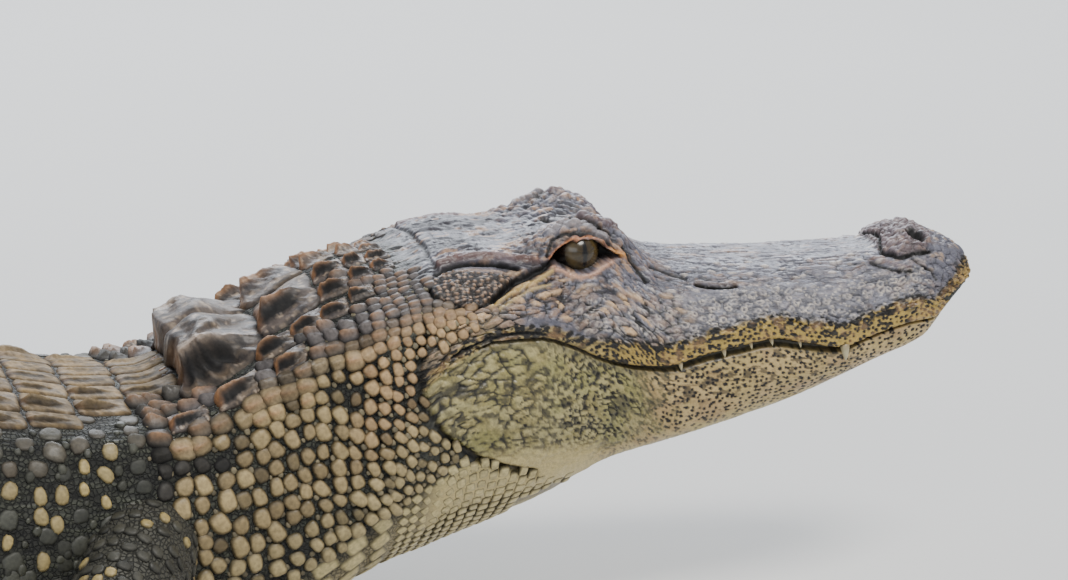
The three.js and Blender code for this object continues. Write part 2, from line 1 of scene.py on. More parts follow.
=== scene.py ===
# American alligator, life-size still model: looks. Metres in Blender; body measures below are in
# millimetres behind the snout tip, heights above the floor and widths from the midline.
import bpy, math
import numpy as np
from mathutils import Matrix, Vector


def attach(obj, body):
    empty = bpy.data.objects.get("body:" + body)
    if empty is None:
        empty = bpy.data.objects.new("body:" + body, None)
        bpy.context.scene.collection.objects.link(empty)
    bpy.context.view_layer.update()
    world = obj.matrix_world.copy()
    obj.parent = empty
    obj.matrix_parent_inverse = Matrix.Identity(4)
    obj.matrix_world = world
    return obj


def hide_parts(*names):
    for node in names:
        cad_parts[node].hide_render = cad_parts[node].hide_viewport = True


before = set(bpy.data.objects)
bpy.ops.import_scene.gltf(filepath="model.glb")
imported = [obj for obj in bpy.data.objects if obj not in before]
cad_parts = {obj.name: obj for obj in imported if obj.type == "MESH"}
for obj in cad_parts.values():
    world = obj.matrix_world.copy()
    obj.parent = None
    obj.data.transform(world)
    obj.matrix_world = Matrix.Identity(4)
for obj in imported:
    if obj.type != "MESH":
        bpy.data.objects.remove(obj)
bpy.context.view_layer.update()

# ------------------------------------------------------------------ camera
AZ, EL, REACH = math.radians(-15), math.radians(14), 2.8
BACK = np.array([math.sin(AZ) * math.cos(EL), -math.cos(AZ) * math.cos(EL), math.sin(EL)])
RIGHT = np.array([math.cos(AZ), math.sin(AZ), 0.0])
UPWARD = np.cross(BACK, RIGHT)
TIP_X, TIP_Y = 1.15401, 0.00166
AIM = np.array([TIP_X - 0.2696, TIP_Y, 0.196])
cam_data = bpy.data.cameras.new("camera")
cam = bpy.data.objects.new("camera", cam_data)
bpy.context.scene.collection.objects.link(cam)
cam.location = Vector(AIM + BACK * REACH)
cam.rotation_euler = (Vector(AIM) - cam.location).to_track_quat("-Z", "Y").to_euler()
cam_data.sensor_width = 36.0
cam_data.lens = 157.3
cam_data.clip_start, cam_data.clip_end = 0.05, 40
bpy.context.scene.camera = cam

# ------------------------------------------------------------------ guide curves (as in the CAD)
top = [(-4, 196), (-1.7, 202), (1.8, 207), (8.8, 212.5), (24, 218.5), (38, 222.5), (48, 219), (58, 213.5), (75, 211.5), (135, 212.5), (185, 215), (205, 219), (220, 227), (240, 236), (256, 237), (275, 234), (290, 233), (310, 233.5), (335, 234), (350, 229), (366, 227.5), (386, 226), (415, 215), (440, 199), (480, 177), (515, 162), (545, 163), (575, 168), (610, 175), (640, 179), (760, 187), (860, 192), (990, 190), (1110, 179), (1200, 161), (1300, 146), (1500, 120), (1700, 98), (1900, 79), (2100, 59), (2300, 35), (2385, 19), (2400, 13)]
dorsalWidth = [(-4, 4), (-1.7, 9), (1.8, 13), (8.8, 18), (24, 23), (38, 26), (60, 29), (100, 33), (150, 34), (200, 33), (225, 34), (246, 38), (265, 41), (290, 46), (345, 49), (400, 52), (515, 56), (700, 66), (850, 70), (1000, 66), (1120, 54), (1200, 42), (1300, 33), (1500, 21), (1700, 14), (1900, 9), (2100, 6), (2300, 3.5), (2400, 1.5)]
dorsalHeight = [(-4, 195.4), (-1.7, 200), (1.8, 205), (8.8, 209.5), (24, 214), (38, 216.5), (60, 209.5), (100, 207.5), (150, 209), (190, 212.5), (205, 217.5), (216, 226.5), (230, 241), (244, 248), (256, 246.5), (270, 240), (285, 235), (300, 233.5), (320, 233), (345, 228), (365, 220), (400, 209), (440, 190), (480, 168), (515, 157), (545, 158), (575, 163), (610, 169), (640, 173), (760, 181), (860, 186), (990, 184), (1110, 173), (1200, 155), (1300, 141), (1500, 116), (1700, 94), (1900, 75.5), (2100, 56.5), (2300, 33.5), (2400, 12.5)]
cheekWidth = [(-4, 6), (-1.7, 14), (1.8, 19.5), (8.8, 26.5), (24, 35.5), (39, 42), (60, 43), (93, 49), (140, 51), (190, 52), (225, 54), (255, 60), (290, 72), (320, 79), (345, 84), (400, 84), (450, 84), (515, 93), (580, 101), (700, 113), (850, 119), (1000, 111), (1120, 88), (1200, 68), (1300, 54), (1500, 38), (1700, 26), (1900, 17), (2100, 11), (2300, 7), (2400, 2.2)]
cheekHeight = [(-4, 194.4), (1.8, 196), (24, 197), (60, 196), (93, 196), (140, 199), (190, 203), (225, 208), (255, 210), (290, 213), (320, 214), (345, 212), (400, 196), (450, 175), (515, 148), (580, 149), (700, 158), (850, 165), (1000, 164), (1120, 152), (1200, 134), (1300, 121), (1500, 101), (1700, 82), (1900, 66), (2100, 49), (2300, 29), (2400, 11.5)]
lipWidth = [(-4, 7), (-1.7, 16), (3, 24), (12.3, 33), (25, 41), (40, 48), (55, 51), (70, 53.5), (93, 60), (117, 64), (140, 65), (165, 66), (190, 69), (225, 74), (255, 80), (290, 88), (315, 93), (345, 97), (400, 94), (450, 95), (515, 105), (580, 117), (700, 134), (850, 143), (1000, 134), (1120, 104), (1200, 80), (1300, 66), (1500, 47), (1700, 33), (1900, 22), (2100, 15), (2300, 9), (2400, 3)]
lipHeight = [(-4, 193.4), (3, 192), (12, 188.5), (25, 184), (40, 182), (55, 180), (73, 176.5), (93, 172.5), (117, 176), (139, 180), (161, 178), (185, 174.5), (205, 171.5), (224, 174), (250, 183), (270, 192), (290, 199), (315, 200), (345, 192), (400, 160), (450, 140), (515, 116), (580, 116), (700, 120), (850, 125), (1000, 125), (1120, 118), (1200, 104), (1300, 94), (1500, 79), (1700, 64), (1900, 51), (2100, 39), (2300, 22), (2400, 10)]
mouthWidth = [(-4, 6), (-1.7, 14.5), (3, 22), (12.3, 31), (25, 39), (40, 45.5), (55, 49), (70, 51.5), (93, 58), (117, 62), (140, 63), (165, 64), (190, 67), (225, 72), (255, 78.5), (290, 87), (315, 92), (345, 97), (400, 97), (450, 99), (515, 110), (580, 123), (700, 143), (850, 152), (1000, 142), (1120, 110), (1200, 85), (1300, 71), (1500, 51), (1700, 36), (1900, 25), (2100, 17), (2300, 10), (2400, 3)]
mouthHeight = [(-4, 192.4), (-0.5, 191), (3, 189.6), (8.5, 186.8), (15.7, 182.6), (21, 178.6), (26, 174.8), (31, 173), (40, 173), (54, 171.5), (73, 167), (93, 162.5), (117, 167), (139, 171), (161, 168), (185, 164.5), (203, 161), (224, 163.5), (250, 172), (269, 182), (289, 189), (315, 190), (335, 185), (345, 180), (370, 158), (400, 135), (450, 112), (515, 88), (580, 84), (700, 85), (850, 85), (1000, 85), (1120, 84), (1200, 75), (1300, 68), (1500, 57), (1700, 46), (1900, 36), (2100, 28), (2300, 16), (2400, 8.5)]
jawWidth = [(-4, 4.5), (-1.7, 11), (3, 17), (12.3, 25), (25, 33), (40, 39.5), (55, 44), (70, 46.5), (93, 52), (117, 57), (140, 59), (165, 60.5), (190, 63), (225, 70), (255, 79), (290, 91), (315, 97), (335, 99), (350, 98), (400, 98), (450, 99), (515, 107), (580, 121), (700, 141), (850, 150), (1000, 138), (1120, 106), (1200, 82), (1300, 68), (1500, 48), (1700, 34), (1900, 23), (2100, 15.5), (2300, 9), (2400, 2.7)]
jawHeight = [(-4, 191.9), (-0.5, 189.8), (3, 188), (8.5, 184.6), (15.7, 179.6), (21, 174.8), (27, 168.2), (33, 163.2), (55, 157.5), (93, 148), (140, 144.5), (190, 138.5), (225, 137), (255, 138), (290, 142), (315, 146), (345, 138), (370, 115), (400, 92), (450, 66), (515, 50), (580, 44), (700, 42), (850, 40), (1000, 40), (1120, 40), (1200, 38), (1300, 36), (1500, 31), (1700, 25), (1900, 20), (2100, 16), (2300, 9), (2400, 7)]
keelWidth = [(-4, 3), (-1.7, 7), (3, 11), (12.3, 17), (25, 23), (63, 31), (116, 42), (155, 48), (194, 54), (234, 60), (260, 66), (290, 74), (313, 80), (345, 82), (400, 78), (450, 80), (515, 90), (580, 101), (700, 119), (850, 126), (1000, 115), (1120, 86), (1200, 62), (1300, 50), (1500, 34), (1700, 24), (1900, 16), (2100, 11), (2300, 6), (2400, 2)]
keelHeight = [(-4, 191.5), (-0.5, 189), (3, 186.8), (8.5, 182.9), (15.7, 177.3), (21, 171.8), (27, 163.6), (33, 157.8), (63, 147.5), (116, 131.5), (155, 123), (194, 116), (234, 109.5), (260, 106), (290, 104), (313, 104), (335, 101), (350, 92), (380, 68), (420, 40), (460, 20), (500, 9), (540, 4), (600, 3), (1120, 3), (1200, 4), (1500, 6), (1900, 4), (2300, 2.5), (2400, 5)]
bellyHeight = [(-4, 191.2), (-0.5, 188.6), (3, 186.2), (8.5, 181.8), (15.7, 175.8), (21, 170), (27, 161.4), (33, 155.4), (63, 144.5), (116, 128), (155, 121), (194, 113.5), (225, 108), (240, 100), (252, 86), (268, 73), (300, 60), (345, 44), (400, 26), (450, 10), (490, 0), (520, -4), (2300, -2), (2400, 4)]
LENGTH, HEAD_END, NECK_END, TRUNK_END = 2400, 352, 522, 1150


def curve(tab):
    t = np.array(tab, float)
    X, Y = t[:, 0], t[:, 1]
    h = np.diff(X)
    d = np.diff(Y) / h
    m = np.zeros(len(X))
    m[0], m[-1] = d[0], d[-1]
    for i in range(1, len(X) - 1):
        if d[i - 1] * d[i] > 0:
            a, b = 2 * h[i] + h[i - 1], h[i] + 2 * h[i - 1]
            m[i] = (a + b) / (a / d[i - 1] + b / d[i])

    def f(s):
        s = np.clip(s, X[0], X[-1])
        i = np.clip(np.searchsorted(X, s, side="right") - 1, 0, len(h) - 1)
        u = (s - X[i]) / h[i]
        return (2*u**3-3*u**2+1)*Y[i] + (u**3-2*u**2+u)*h[i]*m[i] + (-2*u**3+3*u**2)*Y[i+1] + (u**3-u**2)*h[i]*m[i+1]

    return f


WID = [lambda s: s * 0.0, curve(dorsalWidth), curve(cheekWidth), curve(lipWidth), curve(mouthWidth), curve(jawWidth), curve(keelWidth), lambda s: s * 0.0]
HEI = [curve(c) for c in (top, dorsalHeight, cheekHeight, lipHeight, mouthHeight, jawHeight, keelHeight, bellyHeight)]


def smooth(a, b, x):
    t = np.clip((x - a) / (b - a), 0, 1)
    return t * t * (3 - 2 * t)


def mix(a, b, w):
    return a + (b - a) * w


def keys(s):
    s = np.asarray(s, float)
    Y = np.stack([f(s) for f in WID])
    Z = np.stack([f(s) for f in HEI])
    Yf = np.concatenate([-Y[1:2], Y, -Y[6:7]])
    Zf = np.concatenate([Z[1:2], Z, Z[6:7]])
    h = np.hypot(np.diff(Yf, axis=0), np.diff(Zf, axis=0)) + 1e-6
    ty = np.diff(Yf, axis=0) / h
    tz = np.diff(Zf, axis=0) / h
    my = (ty[:-1] * h[1:] + ty[1:] * h[:-1]) / (h[:-1] + h[1:])
    mz = (tz[:-1] * h[1:] + tz[1:] * h[:-1]) / (h[:-1] + h[1:])
    return Y, Z, my, mz, h[1:-1]


def section(s, v):
    """half width and height at station s and section parameter v; s and v are flat arrays"""
    Y, Z, my, mz, H = keys(s)
    i = np.clip(np.floor(v).astype(int), 0, 6)
    u = v - i
    n = np.arange(len(i))
    a, b, c, d = 2*u**3-3*u**2+1, u**3-2*u**2+u, -2*u**3+3*u**2, u**3-u**2
    hh = H[i, n]
    return (a*Y[i, n] + b*hh*my[i, n] + c*Y[i+1, n] + d*hh*my[i+1, n],
            a*Z[i, n] + b*hh*mz[i, n] + c*Z[i+1, n] + d*hh*mz[i+1, n])


def heading(s):
    return np.radians(26 * smooth(TRUNK_END, 1500, s) - 62 * smooth(1560, 2330, s))


_h = heading(np.arange(LENGTH))
LINE_X = -np.concatenate([[0], np.cumsum(np.cos(_h))])
LINE_Y = np.concatenate([[0], np.cumsum(np.sin(_h))])


def place(s, y, z):
    i = np.clip(np.floor(s).astype(int), 0, LENGTH - 1)
    f = s - i
    a = heading(s)
    cx = LINE_X[i] + (LINE_X[i + 1] - LINE_X[i]) * f
    cy = LINE_Y[i] + (LINE_Y[i + 1] - LINE_Y[i]) * f
    return np.stack([cx + y * np.sin(a), cy + y * np.cos(a), z], -1)


def surf(s, v, side):
    y, z = section(s, v)
    return place(s, side * y, z)


# arc length round each half section, for placing scales evenly
ARC_S = np.concatenate([np.arange(-4, 360, 4.0), np.arange(360, 2400.1, 12.0)])
ARC_V = np.linspace(0, 7, 281)
_S, _V = np.meshgrid(ARC_S, ARC_V, indexing="ij")
_y, _z = section(_S.ravel(), _V.ravel())
_y, _z = _y.reshape(_S.shape), _z.reshape(_S.shape)
ARC = np.concatenate([np.zeros((len(ARC_S), 1)), np.cumsum(np.hypot(np.diff(_y, axis=1), np.diff(_z, axis=1)), axis=1)], 1)
ARC_END = ARC[:, -1]
_T = np.linspace(0, 1, 257)
V_OF_T = np.stack([np.interp(_T, ARC[k] / ARC_END[k], ARC_V) for k in range(len(ARC_S))])


def half_girth(s):
    return np.interp(s, ARC_S, ARC_END)


def v_at(s, arc):
    """section parameter at an arc length from the top midline"""
    fi = np.interp(s, ARC_S, np.arange(len(ARC_S)))
    i = np.clip(fi.astype(int), 0, len(ARC_S) - 2)
    f = fi - i
    t = np.clip(arc / half_girth(s), 0, 1) * 256
    j = np.clip(t.astype(int), 0, 255)
    g = t - j
    a = V_OF_T[i, j] * (1 - g) + V_OF_T[i, j + 1] * g
    b = V_OF_T[i + 1, j] * (1 - g) + V_OF_T[i + 1, j + 1] * g
    return a * (1 - f) + b * f


def arc_at(s, v):
    fi = np.interp(s, ARC_S, np.arange(len(ARC_S)))
    i = np.clip(fi.astype(int), 0, len(ARC_S) - 2)
    f = fi - i
    t = np.clip(v / 7, 0, 1) * 280
    j = np.clip(t.astype(int), 0, 279)
    g = t - j
    return (ARC[i, j] * (1 - g) + ARC[i, j + 1] * g) * (1 - f) + (ARC[i + 1, j] * (1 - g) + ARC[i + 1, j + 1] * g) * f


def surf_n(s, v, side):
    """point and outward normal"""
    e = 0.02
    P = surf(s, v, side)
    A = surf(s, np.minimum(v + e, 7), side) - surf(s, np.maximum(v - e, 0), side)
    B = surf(s + 1.0, v, side) - surf(s - 1.0, v, side)
    N = np.cross(A, B) * np.sign(side)[..., None]
    N /= np.linalg.norm(N, axis=-1, keepdims=True) + 1e-9
    return P, N


# ------------------------------------------------------------------ drawing on the head
# The head's features are drawn as strokes on its side view, in units of 0.6 mm seen from the
# model's front right; both sides of the head take the same strokes.
def side_view(P):
    """side-view place of points given in mm from the snout tip, mirrored to one side"""
    Q = P.copy()
    Q[..., 1] = -np.abs(Q[..., 1])
    d = Q - np.array([-269.6, 0, 196])
    depth = REACH * 1000 - d @ BACK
    return 534 + (d @ RIGHT) / depth * REACH * 1000 / 0.6, 290 - (d @ UPWARD) / depth * REACH * 1000 / 0.6


def dist_line(px, py, pts):
    best = np.full(px.shape, 1e9)
    for (ax, ay), (bx, by) in zip(pts[:-1], pts[1:]):
        dx, dy = bx - ax, by - ay
        t = np.clip(((px - ax) * dx + (py - ay) * dy) / (dx * dx + dy * dy + 1e-9), 0, 1)
        best = np.minimum(best, np.hypot(px - ax - t * dx, py - ay - t * dy))
    return best


def inside(px, py, pts):
    r = np.zeros(px.shape, bool)
    n = len(pts)
    for k in range(n):
        (ax, ay), (bx, by) = pts[k], pts[(k + 1) % n]
        c = (ay > py) != (by > py)
        x = (bx - ax) * (py - ay) / (by - ay + 1e-12) + ax
        r ^= c & (px < x)
    return r


def rounded(pts, n=6):
    """a smooth line through the points"""
    p = np.array(pts, float)
    q = np.concatenate([2 * p[:1] - p[1:2], p, 2 * p[-1:] - p[-2:-1]])
    out = []
    for i in range(1, len(q) - 2):
        for t in np.linspace(0, 1, n, endpoint=False):
            out.append(0.5 * (2*q[i] + (q[i+1]-q[i-1])*t + (2*q[i-1]-5*q[i]+4*q[i+1]-q[i+2])*t*t + (3*q[i]-q[i-1]-3*q[i+1]+q[i+2])*t**3))
    out.append(p[-1])
    return [tuple(a) for a in out]


# ------------------------------------------------------------------ noise and cells
def hash2(i, j, k):
    h = (i.astype(np.int64) * 374761393 + j.astype(np.int64) * 668265263 + k * 1274126177) & 0x7FFFFFFF
    h = ((h ^ (h >> 13)) * 1103515245) & 0x7FFFFFFF
    h = ((h ^ (h >> 15)) * 12345331) & 0x7FFFFFFF
    return ((h ^ (h >> 16)) & 0xFFFFF) / float(0xFFFFF)


def cells(u, v, jitter=0.8, seed=1):
    """nearest and second distance to jittered points, and that cell's own random number"""
    i0, j0 = np.floor(u), np.floor(v)
    f1 = np.full(u.shape, 9.0)
    f2 = np.full(u.shape, 9.0)
    rnd = np.zeros(u.shape)
    for di in (-1, 0, 1):
        for dj in (-1, 0, 1):
            i, j = i0 + di, j0 + dj
            cu = i + 0.5 + jitter * (hash2(i, j, seed) - 0.5)
            cv = j + 0.5 + jitter * (hash2(i, j, seed + 7) - 0.5)
            d = np.hypot(u - cu, v - cv)
            near = d < f1
            f2 = np.where(near, f1, np.minimum(f2, d))
            rnd = np.where(near, hash2(i, j, seed + 13), rnd)
            f1 = np.where(near, d, f1)
    return f1, f2, rnd


def value(u, v, seed=1):
    i, j = np.floor(u), np.floor(v)
    a, b = u - i, v - j
    a, b = a * a * (3 - 2 * a), b * b * (3 - 2 * b)
    g = lambda x, y: hash2(i + x, j + y, seed)
    return (g(0, 0) * (1 - a) + g(1, 0) * a) * (1 - b) + (g(0, 1) * (1 - a) + g(1, 1) * a) * b


def fractal(u, v, octaves=4, seed=1):
    r, w, k = 0, 0.5, 0
    for o in range(octaves):
        r = r + w * value(u * 2 ** o + 17.3 * o, v * 2 ** o - 9.1 * o, seed + o)
        k += w
        w *= 0.5
    return r / k


def rgb(r, g, b):
    c = np.array([r, g, b], float) / 255
    return np.where(c <= 0.04045, c / 12.92, ((c + 0.055) / 1.055) ** 2.4)


# colours of the hide
GREY = rgb(100, 99, 110)
GREY_DARK = rgb(34, 31, 32)
GREY_PALE = rgb(164, 164, 176)
BLACK = rgb(14, 12, 11)
FLECK = rgb(170, 136, 108)
PINK = rgb(128, 90, 78)
LIP = rgb(166, 139, 66)
JAW = rgb(178, 154, 98)
THROAT = rgb(176, 160, 100)
CHEEK = rgb(136, 126, 76)
OLIVE = rgb(134, 132, 72)
ORANGE = rgb(190, 118, 62)
TAN = rgb(132, 110, 72)
SKIN_DARK = rgb(34, 35, 28)
BACK_BROWN = rgb(108, 92, 72)
FLANK = rgb(58, 58, 50)
CREAM = rgb(182, 160, 104)
BELLY = rgb(200, 184, 132)
# painted shade for the inside of the mouth's cleft
MOUTH_SHADE = rgb(20, 15, 12)


def paint(C, colour, w):
    w = np.clip(w, 0, 1)[:, None]
    return C * (1 - w) + colour * w


# ------------------------------------------------------------------ the skin's grid
RINGS = np.concatenate([np.arange(-4, 352, 0.85), np.arange(352, 522, 2.0), np.arange(522, 1150, 6.5), np.arange(1150, 2400, 10.0), [2400.0]])
PER_V = [42, 60, 56, 38, 44, 34, 18]
HALF_V = np.concatenate([np.arange(n) / n + k for k, n in enumerate(PER_V)] + [[7.0]])
COL_V = np.concatenate([HALF_V[:0:-1], HALF_V[:-1]])
COL_SIDE = np.concatenate([-np.ones(len(HALF_V) - 1), np.ones(len(HALF_V) - 1)])
NR, NC = len(RINGS), len(COL_V)


def grid_points(S, V, side):
    Y, Z, my, mz, H = keys(S)
    i = np.clip(np.floor(V).astype(int), 0, 6)
    u = (V - i)[:, None]
    a, b, c, d = 2*u**3-3*u**2+1, u**3-2*u**2+u, -2*u**3+3*u**2, u**3-u**2
    y = a * Y[i] + b * H[i] * my[i] + c * Y[i + 1] + d * H[i] * my[i + 1]
    z = a * Z[i] + b * H[i] * mz[i] + c * Z[i + 1] + d * H[i] * mz[i + 1]
    SS = np.broadcast_to(S[:, None], (len(S), len(V)))
    return place(SS, (y * side[:, None]).T, z.T)


def grid_normals(P):
    A = np.roll(P, -1, 1) - np.roll(P, 1, 1)
    B = np.empty_like(P)
    B[1:-1] = P[2:] - P[:-2]
    B[0], B[-1] = P[1] - P[0], P[-1] - P[-2]
    N = np.cross(A, B)
    N /= np.linalg.norm(N, axis=-1, keepdims=True) + 1e-9
    return N


P = grid_points(RINGS, COL_V, COL_SIDE)
N = grid_normals(P)
mid = P.mean(1, keepdims=True)
if ((P - mid) * N).sum() < 0:
    N = -N
S2 = np.broadcast_to(RINGS[:, None], (NR, NC)).copy()
V2 = np.broadcast_to(COL_V[None], (NR, NC)).copy()
SIDE2 = np.broadcast_to(COL_SIDE[None], (NR, NC)).copy()
ARC2 = arc_at(S2.ravel(), V2.ravel()).reshape(NR, NC)
MOUTH_ARC = arc_at(RINGS, np.full(NR, 4.0))[:, None]
FROM_MOUTH = ARC2 - MOUTH_ARC  # below the mouth line is positive

# ------------------------------------------------------------------ the head
EYE = np.array([-254.6, 37.5, 228.0])
EYE_R = 14.5
EYE_OPEN = rounded([(549, 264), (556, 252), (567, 244), (580, 240), (592, 240), (602, 245), (612, 253), (621, 257), (611, 260), (602, 264), (592, 270), (580, 273), (568, 269), (558, 265)], 4)

# name, points, half width, height in mm, colour, strength
STROKES = [
    # lids and brow; the black of the lid and brow grooves, the cracks in front of the eye, the back lid corner and the
    # fold under the eye is painted shade in those hollows
    ("upper_lid_rim", [(550, 258), (560, 248), (570, 241), (581, 237), (593, 237), (604, 242), (613, 249), (622, 255)], 2.0, 0.9, ORANGE, 0.75),
    ("lower_lid_rim", [(551, 267), (560, 270), (570, 275), (581, 277.5), (594, 274), (604, 267), (613, 262)], 2.0, 1.1, rgb(196, 150, 122), 0.85),
    ("lid_groove", [(547, 256), (552, 241), (562, 235.5), (575, 233), (588, 233), (600, 237.5), (609, 244), (616, 250)], 1.8, -2.2, BLACK, 1.0),
    ("brow_fold", [(551, 233), (559, 227), (570, 224), (584, 225), (595, 230), (604, 237)], 3.4, 1.3, rgb(140, 134, 136), 0.85),
    ("brow_groove", [(548, 226), (556, 221), (570, 218.5), (586, 220), (600, 227), (612, 236)], 1.8, -1.8, BLACK, 0.9),
    ("brow_ridge", [(547, 215), (558, 213), (572, 214), (590, 218), (604, 223), (614, 227)], 2.4, 1.6, PINK, 0.45),
    ("front_corner", [(612, 250), (620, 254), (626, 257)], 2.6, 1.2, rgb(200, 140, 70), 0.8),
    ("front_crack", [(624, 248), (631, 261), (639, 271), (646, 281)], 2.4, -3.0, BLACK, 1.1),
    ("front_ridge", [(634, 252), (641, 264), (652, 278)], 2.0, 1.0, PINK, 0.35),
    ("front_crack_2", [(650, 267), (666, 272), (686, 278)], 1.7, -1.8, BLACK, 0.9),
    ("lid_corner_back", [(550, 262), (546, 268), (541, 274)], 1.8, -1.2, BLACK, 0.8),
    ("under_eye_fold", [(548, 283), (565, 288), (582, 290), (600, 285), (616, 276)], 2.0, -0.8, BLACK, 0.35),
    # groove behind the eye, and the two pale strips under it; both grooves are painted near-black as shade in them
    ("cheek_groove", [(552, 262), (545, 267), (538, 271), (527, 276.5), (515, 283), (504, 291), (494, 301)], 3.0, -4.2, rgb(6, 5, 5), 1.4),
    ("cheek_strip", [(552, 271), (540, 279), (528, 285), (517, 290), (504, 298), (491, 308)], 2.3, 1.2, rgb(196, 164, 98), 0.85),
    ("cheek_groove_2", [(556, 278), (543, 284), (529, 289), (517, 295), (503, 304)], 1.0, -0.9, BLACK, 0.7),
    ("cheek_strip_2", [(550, 285), (538, 288), (526, 293), (513, 301), (500, 309)], 1.7, 0.8, rgb(190, 164, 108), 0.75),
    # ear; the slit and the table groove are painted black as shade in them, the flap's edge black as shade under the
    # flap, and the temple groove dark grey as shade
    ("ear_ridge", [(438, 264), (450, 259), (466, 257), (480, 256), (497, 256.5), (514, 258.5), (528, 259), (537, 261)], 3.4, 2.4, PINK, 0.6),
    ("ear_slit", [(436, 274), (446, 268), (458, 264.5), (474, 263.5), (490, 264), (504, 266), (517, 269)], 2.0, -4.2, rgb(6, 5, 5), 1.4),
    ("ear_flap_rim", [(440, 277), (456, 272), (474, 270), (492, 271), (505, 274), (514, 277)], 1.3, 0.8, FLECK, 0.6),
    ("ear_flap_edge", [(427, 284), (431, 294), (443, 303), (457, 308), (471, 309), (485, 305), (497, 297), (508, 287), (517, 279)], 2.0, -2.6, BLACK, 1.2),
    ("ear_flap_under", [(429, 296), (440, 306), (457, 311), (473, 312), (488, 308)], 1.3, 0.5, FLECK, 0.6),
    ("table_groove", [(436, 268), (428, 257), (423, 246), (412, 238)], 2.6, -1.6, BLACK, 0.7),
    ("table_edge", [(404, 229), (416, 226), (430, 225), (445, 228)], 2.4, 1.0, GREY_DARK, 0.5),
    ("temple_groove", [(440, 246), (456, 240), (472, 236), (490, 236), (512, 240), (530, 247)], 2.2, -0.8, GREY_DARK, 0.4),
    # snout; the cracks, creases, pits, the fissure and the fold's underside are painted black or dark grey as shade in
    # those hollows
    ("side_crack", [(696, 284), (704, 286), (714, 287.3), (726, 287.6), (736, 286)], 1.5, -4.0, rgb(4, 4, 4), 1.9),
    ("side_crack_lip", [(696, 281), (714, 283.5), (736, 283)], 1.4, 0.7, FLECK, 0.4),
    ("side_crease", [(656, 276), (672, 281), (690, 284)], 1.4, -0.9, BLACK, 0.6),
    ("top_crease_1", [(640, 236), (668, 245), (700, 250), (740, 256), (790, 262)], 1.6, -0.6, GREY_DARK, 0.3),
    ("top_crease_2", [(650, 255), (690, 263), (730, 268), (770, 272)], 1.4, -0.6, GREY_DARK, 0.3),
    ("snout_pit_1", [(768, 244.5), (780, 245.5)], 2.2, -2.6, BLACK, 1.3),
    ("snout_pit_2", [(794, 243), (804, 243.5)], 2.6, -2.8, BLACK, 1.3),
    ("nose_fissure", [(868, 238), (878, 236), (880, 246), (882, 252), (892, 255), (902, 257.5), (914, 254), (930, 252)], 2.0, -2.3, BLACK, 1.1),
    ("nose_fold", [(873, 258), (884, 261), (897, 265), (908, 267), (912, 263)], 2.4, 1.5, PINK, 0.5),
    ("nose_fold_under", [(871, 262), (886, 267.5), (900, 271), (912, 271)], 1.6, -1.8, BLACK, 0.9),
    ("nose_crack", [(912, 259), (921, 265), (931, 271), (936, 280)], 1.3, -1.2, BLACK, 0.9),
    ("nostril_rim", [(903, 228), (912, 228), (921, 233), (926, 241)], 2.2, 1.0, rgb(120, 104, 104), 0.4),
    ("tip_crease", [(905, 280), (908, 272), (918, 268)], 0.9, -0.6, BLACK, 0.5),
    # jaw; the corner fold and the back edge of the jaw are painted black as shade in the fold
    ("corner_fold", [(452, 358), (470, 348), (483, 342), (500, 337), (520, 334), (545, 335)], 1.9, -2.0, BLACK, 1.0),
    ("jaw_fold", [(487, 352), (474, 357), (459, 365), (446, 372)], 1.5, 0.5, LIP, 0.2),
    ("jaw_crease", [(520, 455), (548, 457), (580, 452), (610, 444)], 1.2, -0.5, OLIVE, 0.2),
    ("jaw_rear", [(431, 304), (424, 330), (421, 365), (422, 392), (430, 415), (444, 436), (462, 450), (482, 461), (505, 468), (535, 473)], 3.4, -3.6, BLACK, 0.9),
    ("jaw_blotch", [(438, 398), (446, 394), (456, 388), (465, 389)], 5.0, -0.8, BLACK, 0.85),
    ("jaw_blotch_2", [(440, 405), (447, 414), (458, 422)], 3.0, -0.5, BLACK, 0.6),
    ("jaw_line_1", [(640, 392), (680, 388), (720, 383), (745, 380)], 1.0, -0.4, BLACK, 0.45),
    ("jaw_line_2", [(640, 412), (665, 407), (690, 402)], 1.0, -0.4, BLACK, 0.35),
    ("jaw_line_3", [(500, 380), (530, 372), (560, 366)], 0.9, -0.4, BLACK, 0.35),
]
NOSTRIL = rounded([(905, 231), (911, 230.5), (919, 234), (925, 241.5), (917, 241.5), (909, 237.5)], 3)

head_rows = RINGS < 396
hr = np.nonzero(head_rows)[0]
Ph, Nh = P[hr].reshape(-1, 3).copy(), N[hr].reshape(-1, 3)
s_h, v_h, a_h, m_h = S2[hr].ravel(), V2[hr].ravel(), ARC2[hr].ravel(), FROM_MOUTH[hr].ravel()
side_h = SIDE2[hr].ravel()
PX, PY = side_view(Ph)
# the back edge of the jaw's muscle, where the neck begins
JAW_REAR = rounded([(431, 300), (424, 330), (421, 365), (422, 392), (430, 415), (444, 436), (462, 450), (482, 461), (505, 468), (540, 474)], 5)
EARFLAP = rounded([(430, 282), (450, 274), (473, 272), (495, 274), (512, 279), (503, 290), (488, 301), (468, 306), (448, 303), (434, 296)], 3)


def ahead_of_jaw_rear(px, py):
    """signed distance, in side-view units, in front of the jaw's back edge"""
    ring = JAW_REAR + [(1100, 474), (1100, 300)]
    d = dist_line(px, py, JAW_REAR)
    return np.where(inside(px, py, ring), d, -d)


rear_d = ahead_of_jaw_rear(PX, PY)
on_head = np.where(v_h > 3.0, np.maximum(smooth(-3, 3, rear_d) * (1 - smooth(380, 392, s_h)), (1 - smooth(346, 366, s_h)) * (v_h > 5.6)), 1 - smooth(346, 366, s_h))


def between(x, a, b, soft):
    return smooth(a - soft, a + soft, x) * (1 - smooth(b - soft, b + soft, x))


rel = np.zeros(len(s_h))  # relief in mm along the normal
col = np.tile(GREY, (len(s_h), 1))
wob = fractal(s_h / 9, a_h / 7, 3, 5) - 0.5
wob2 = fractal(s_h / 3.2, a_h / 2.6, 3, 11) - 0.5

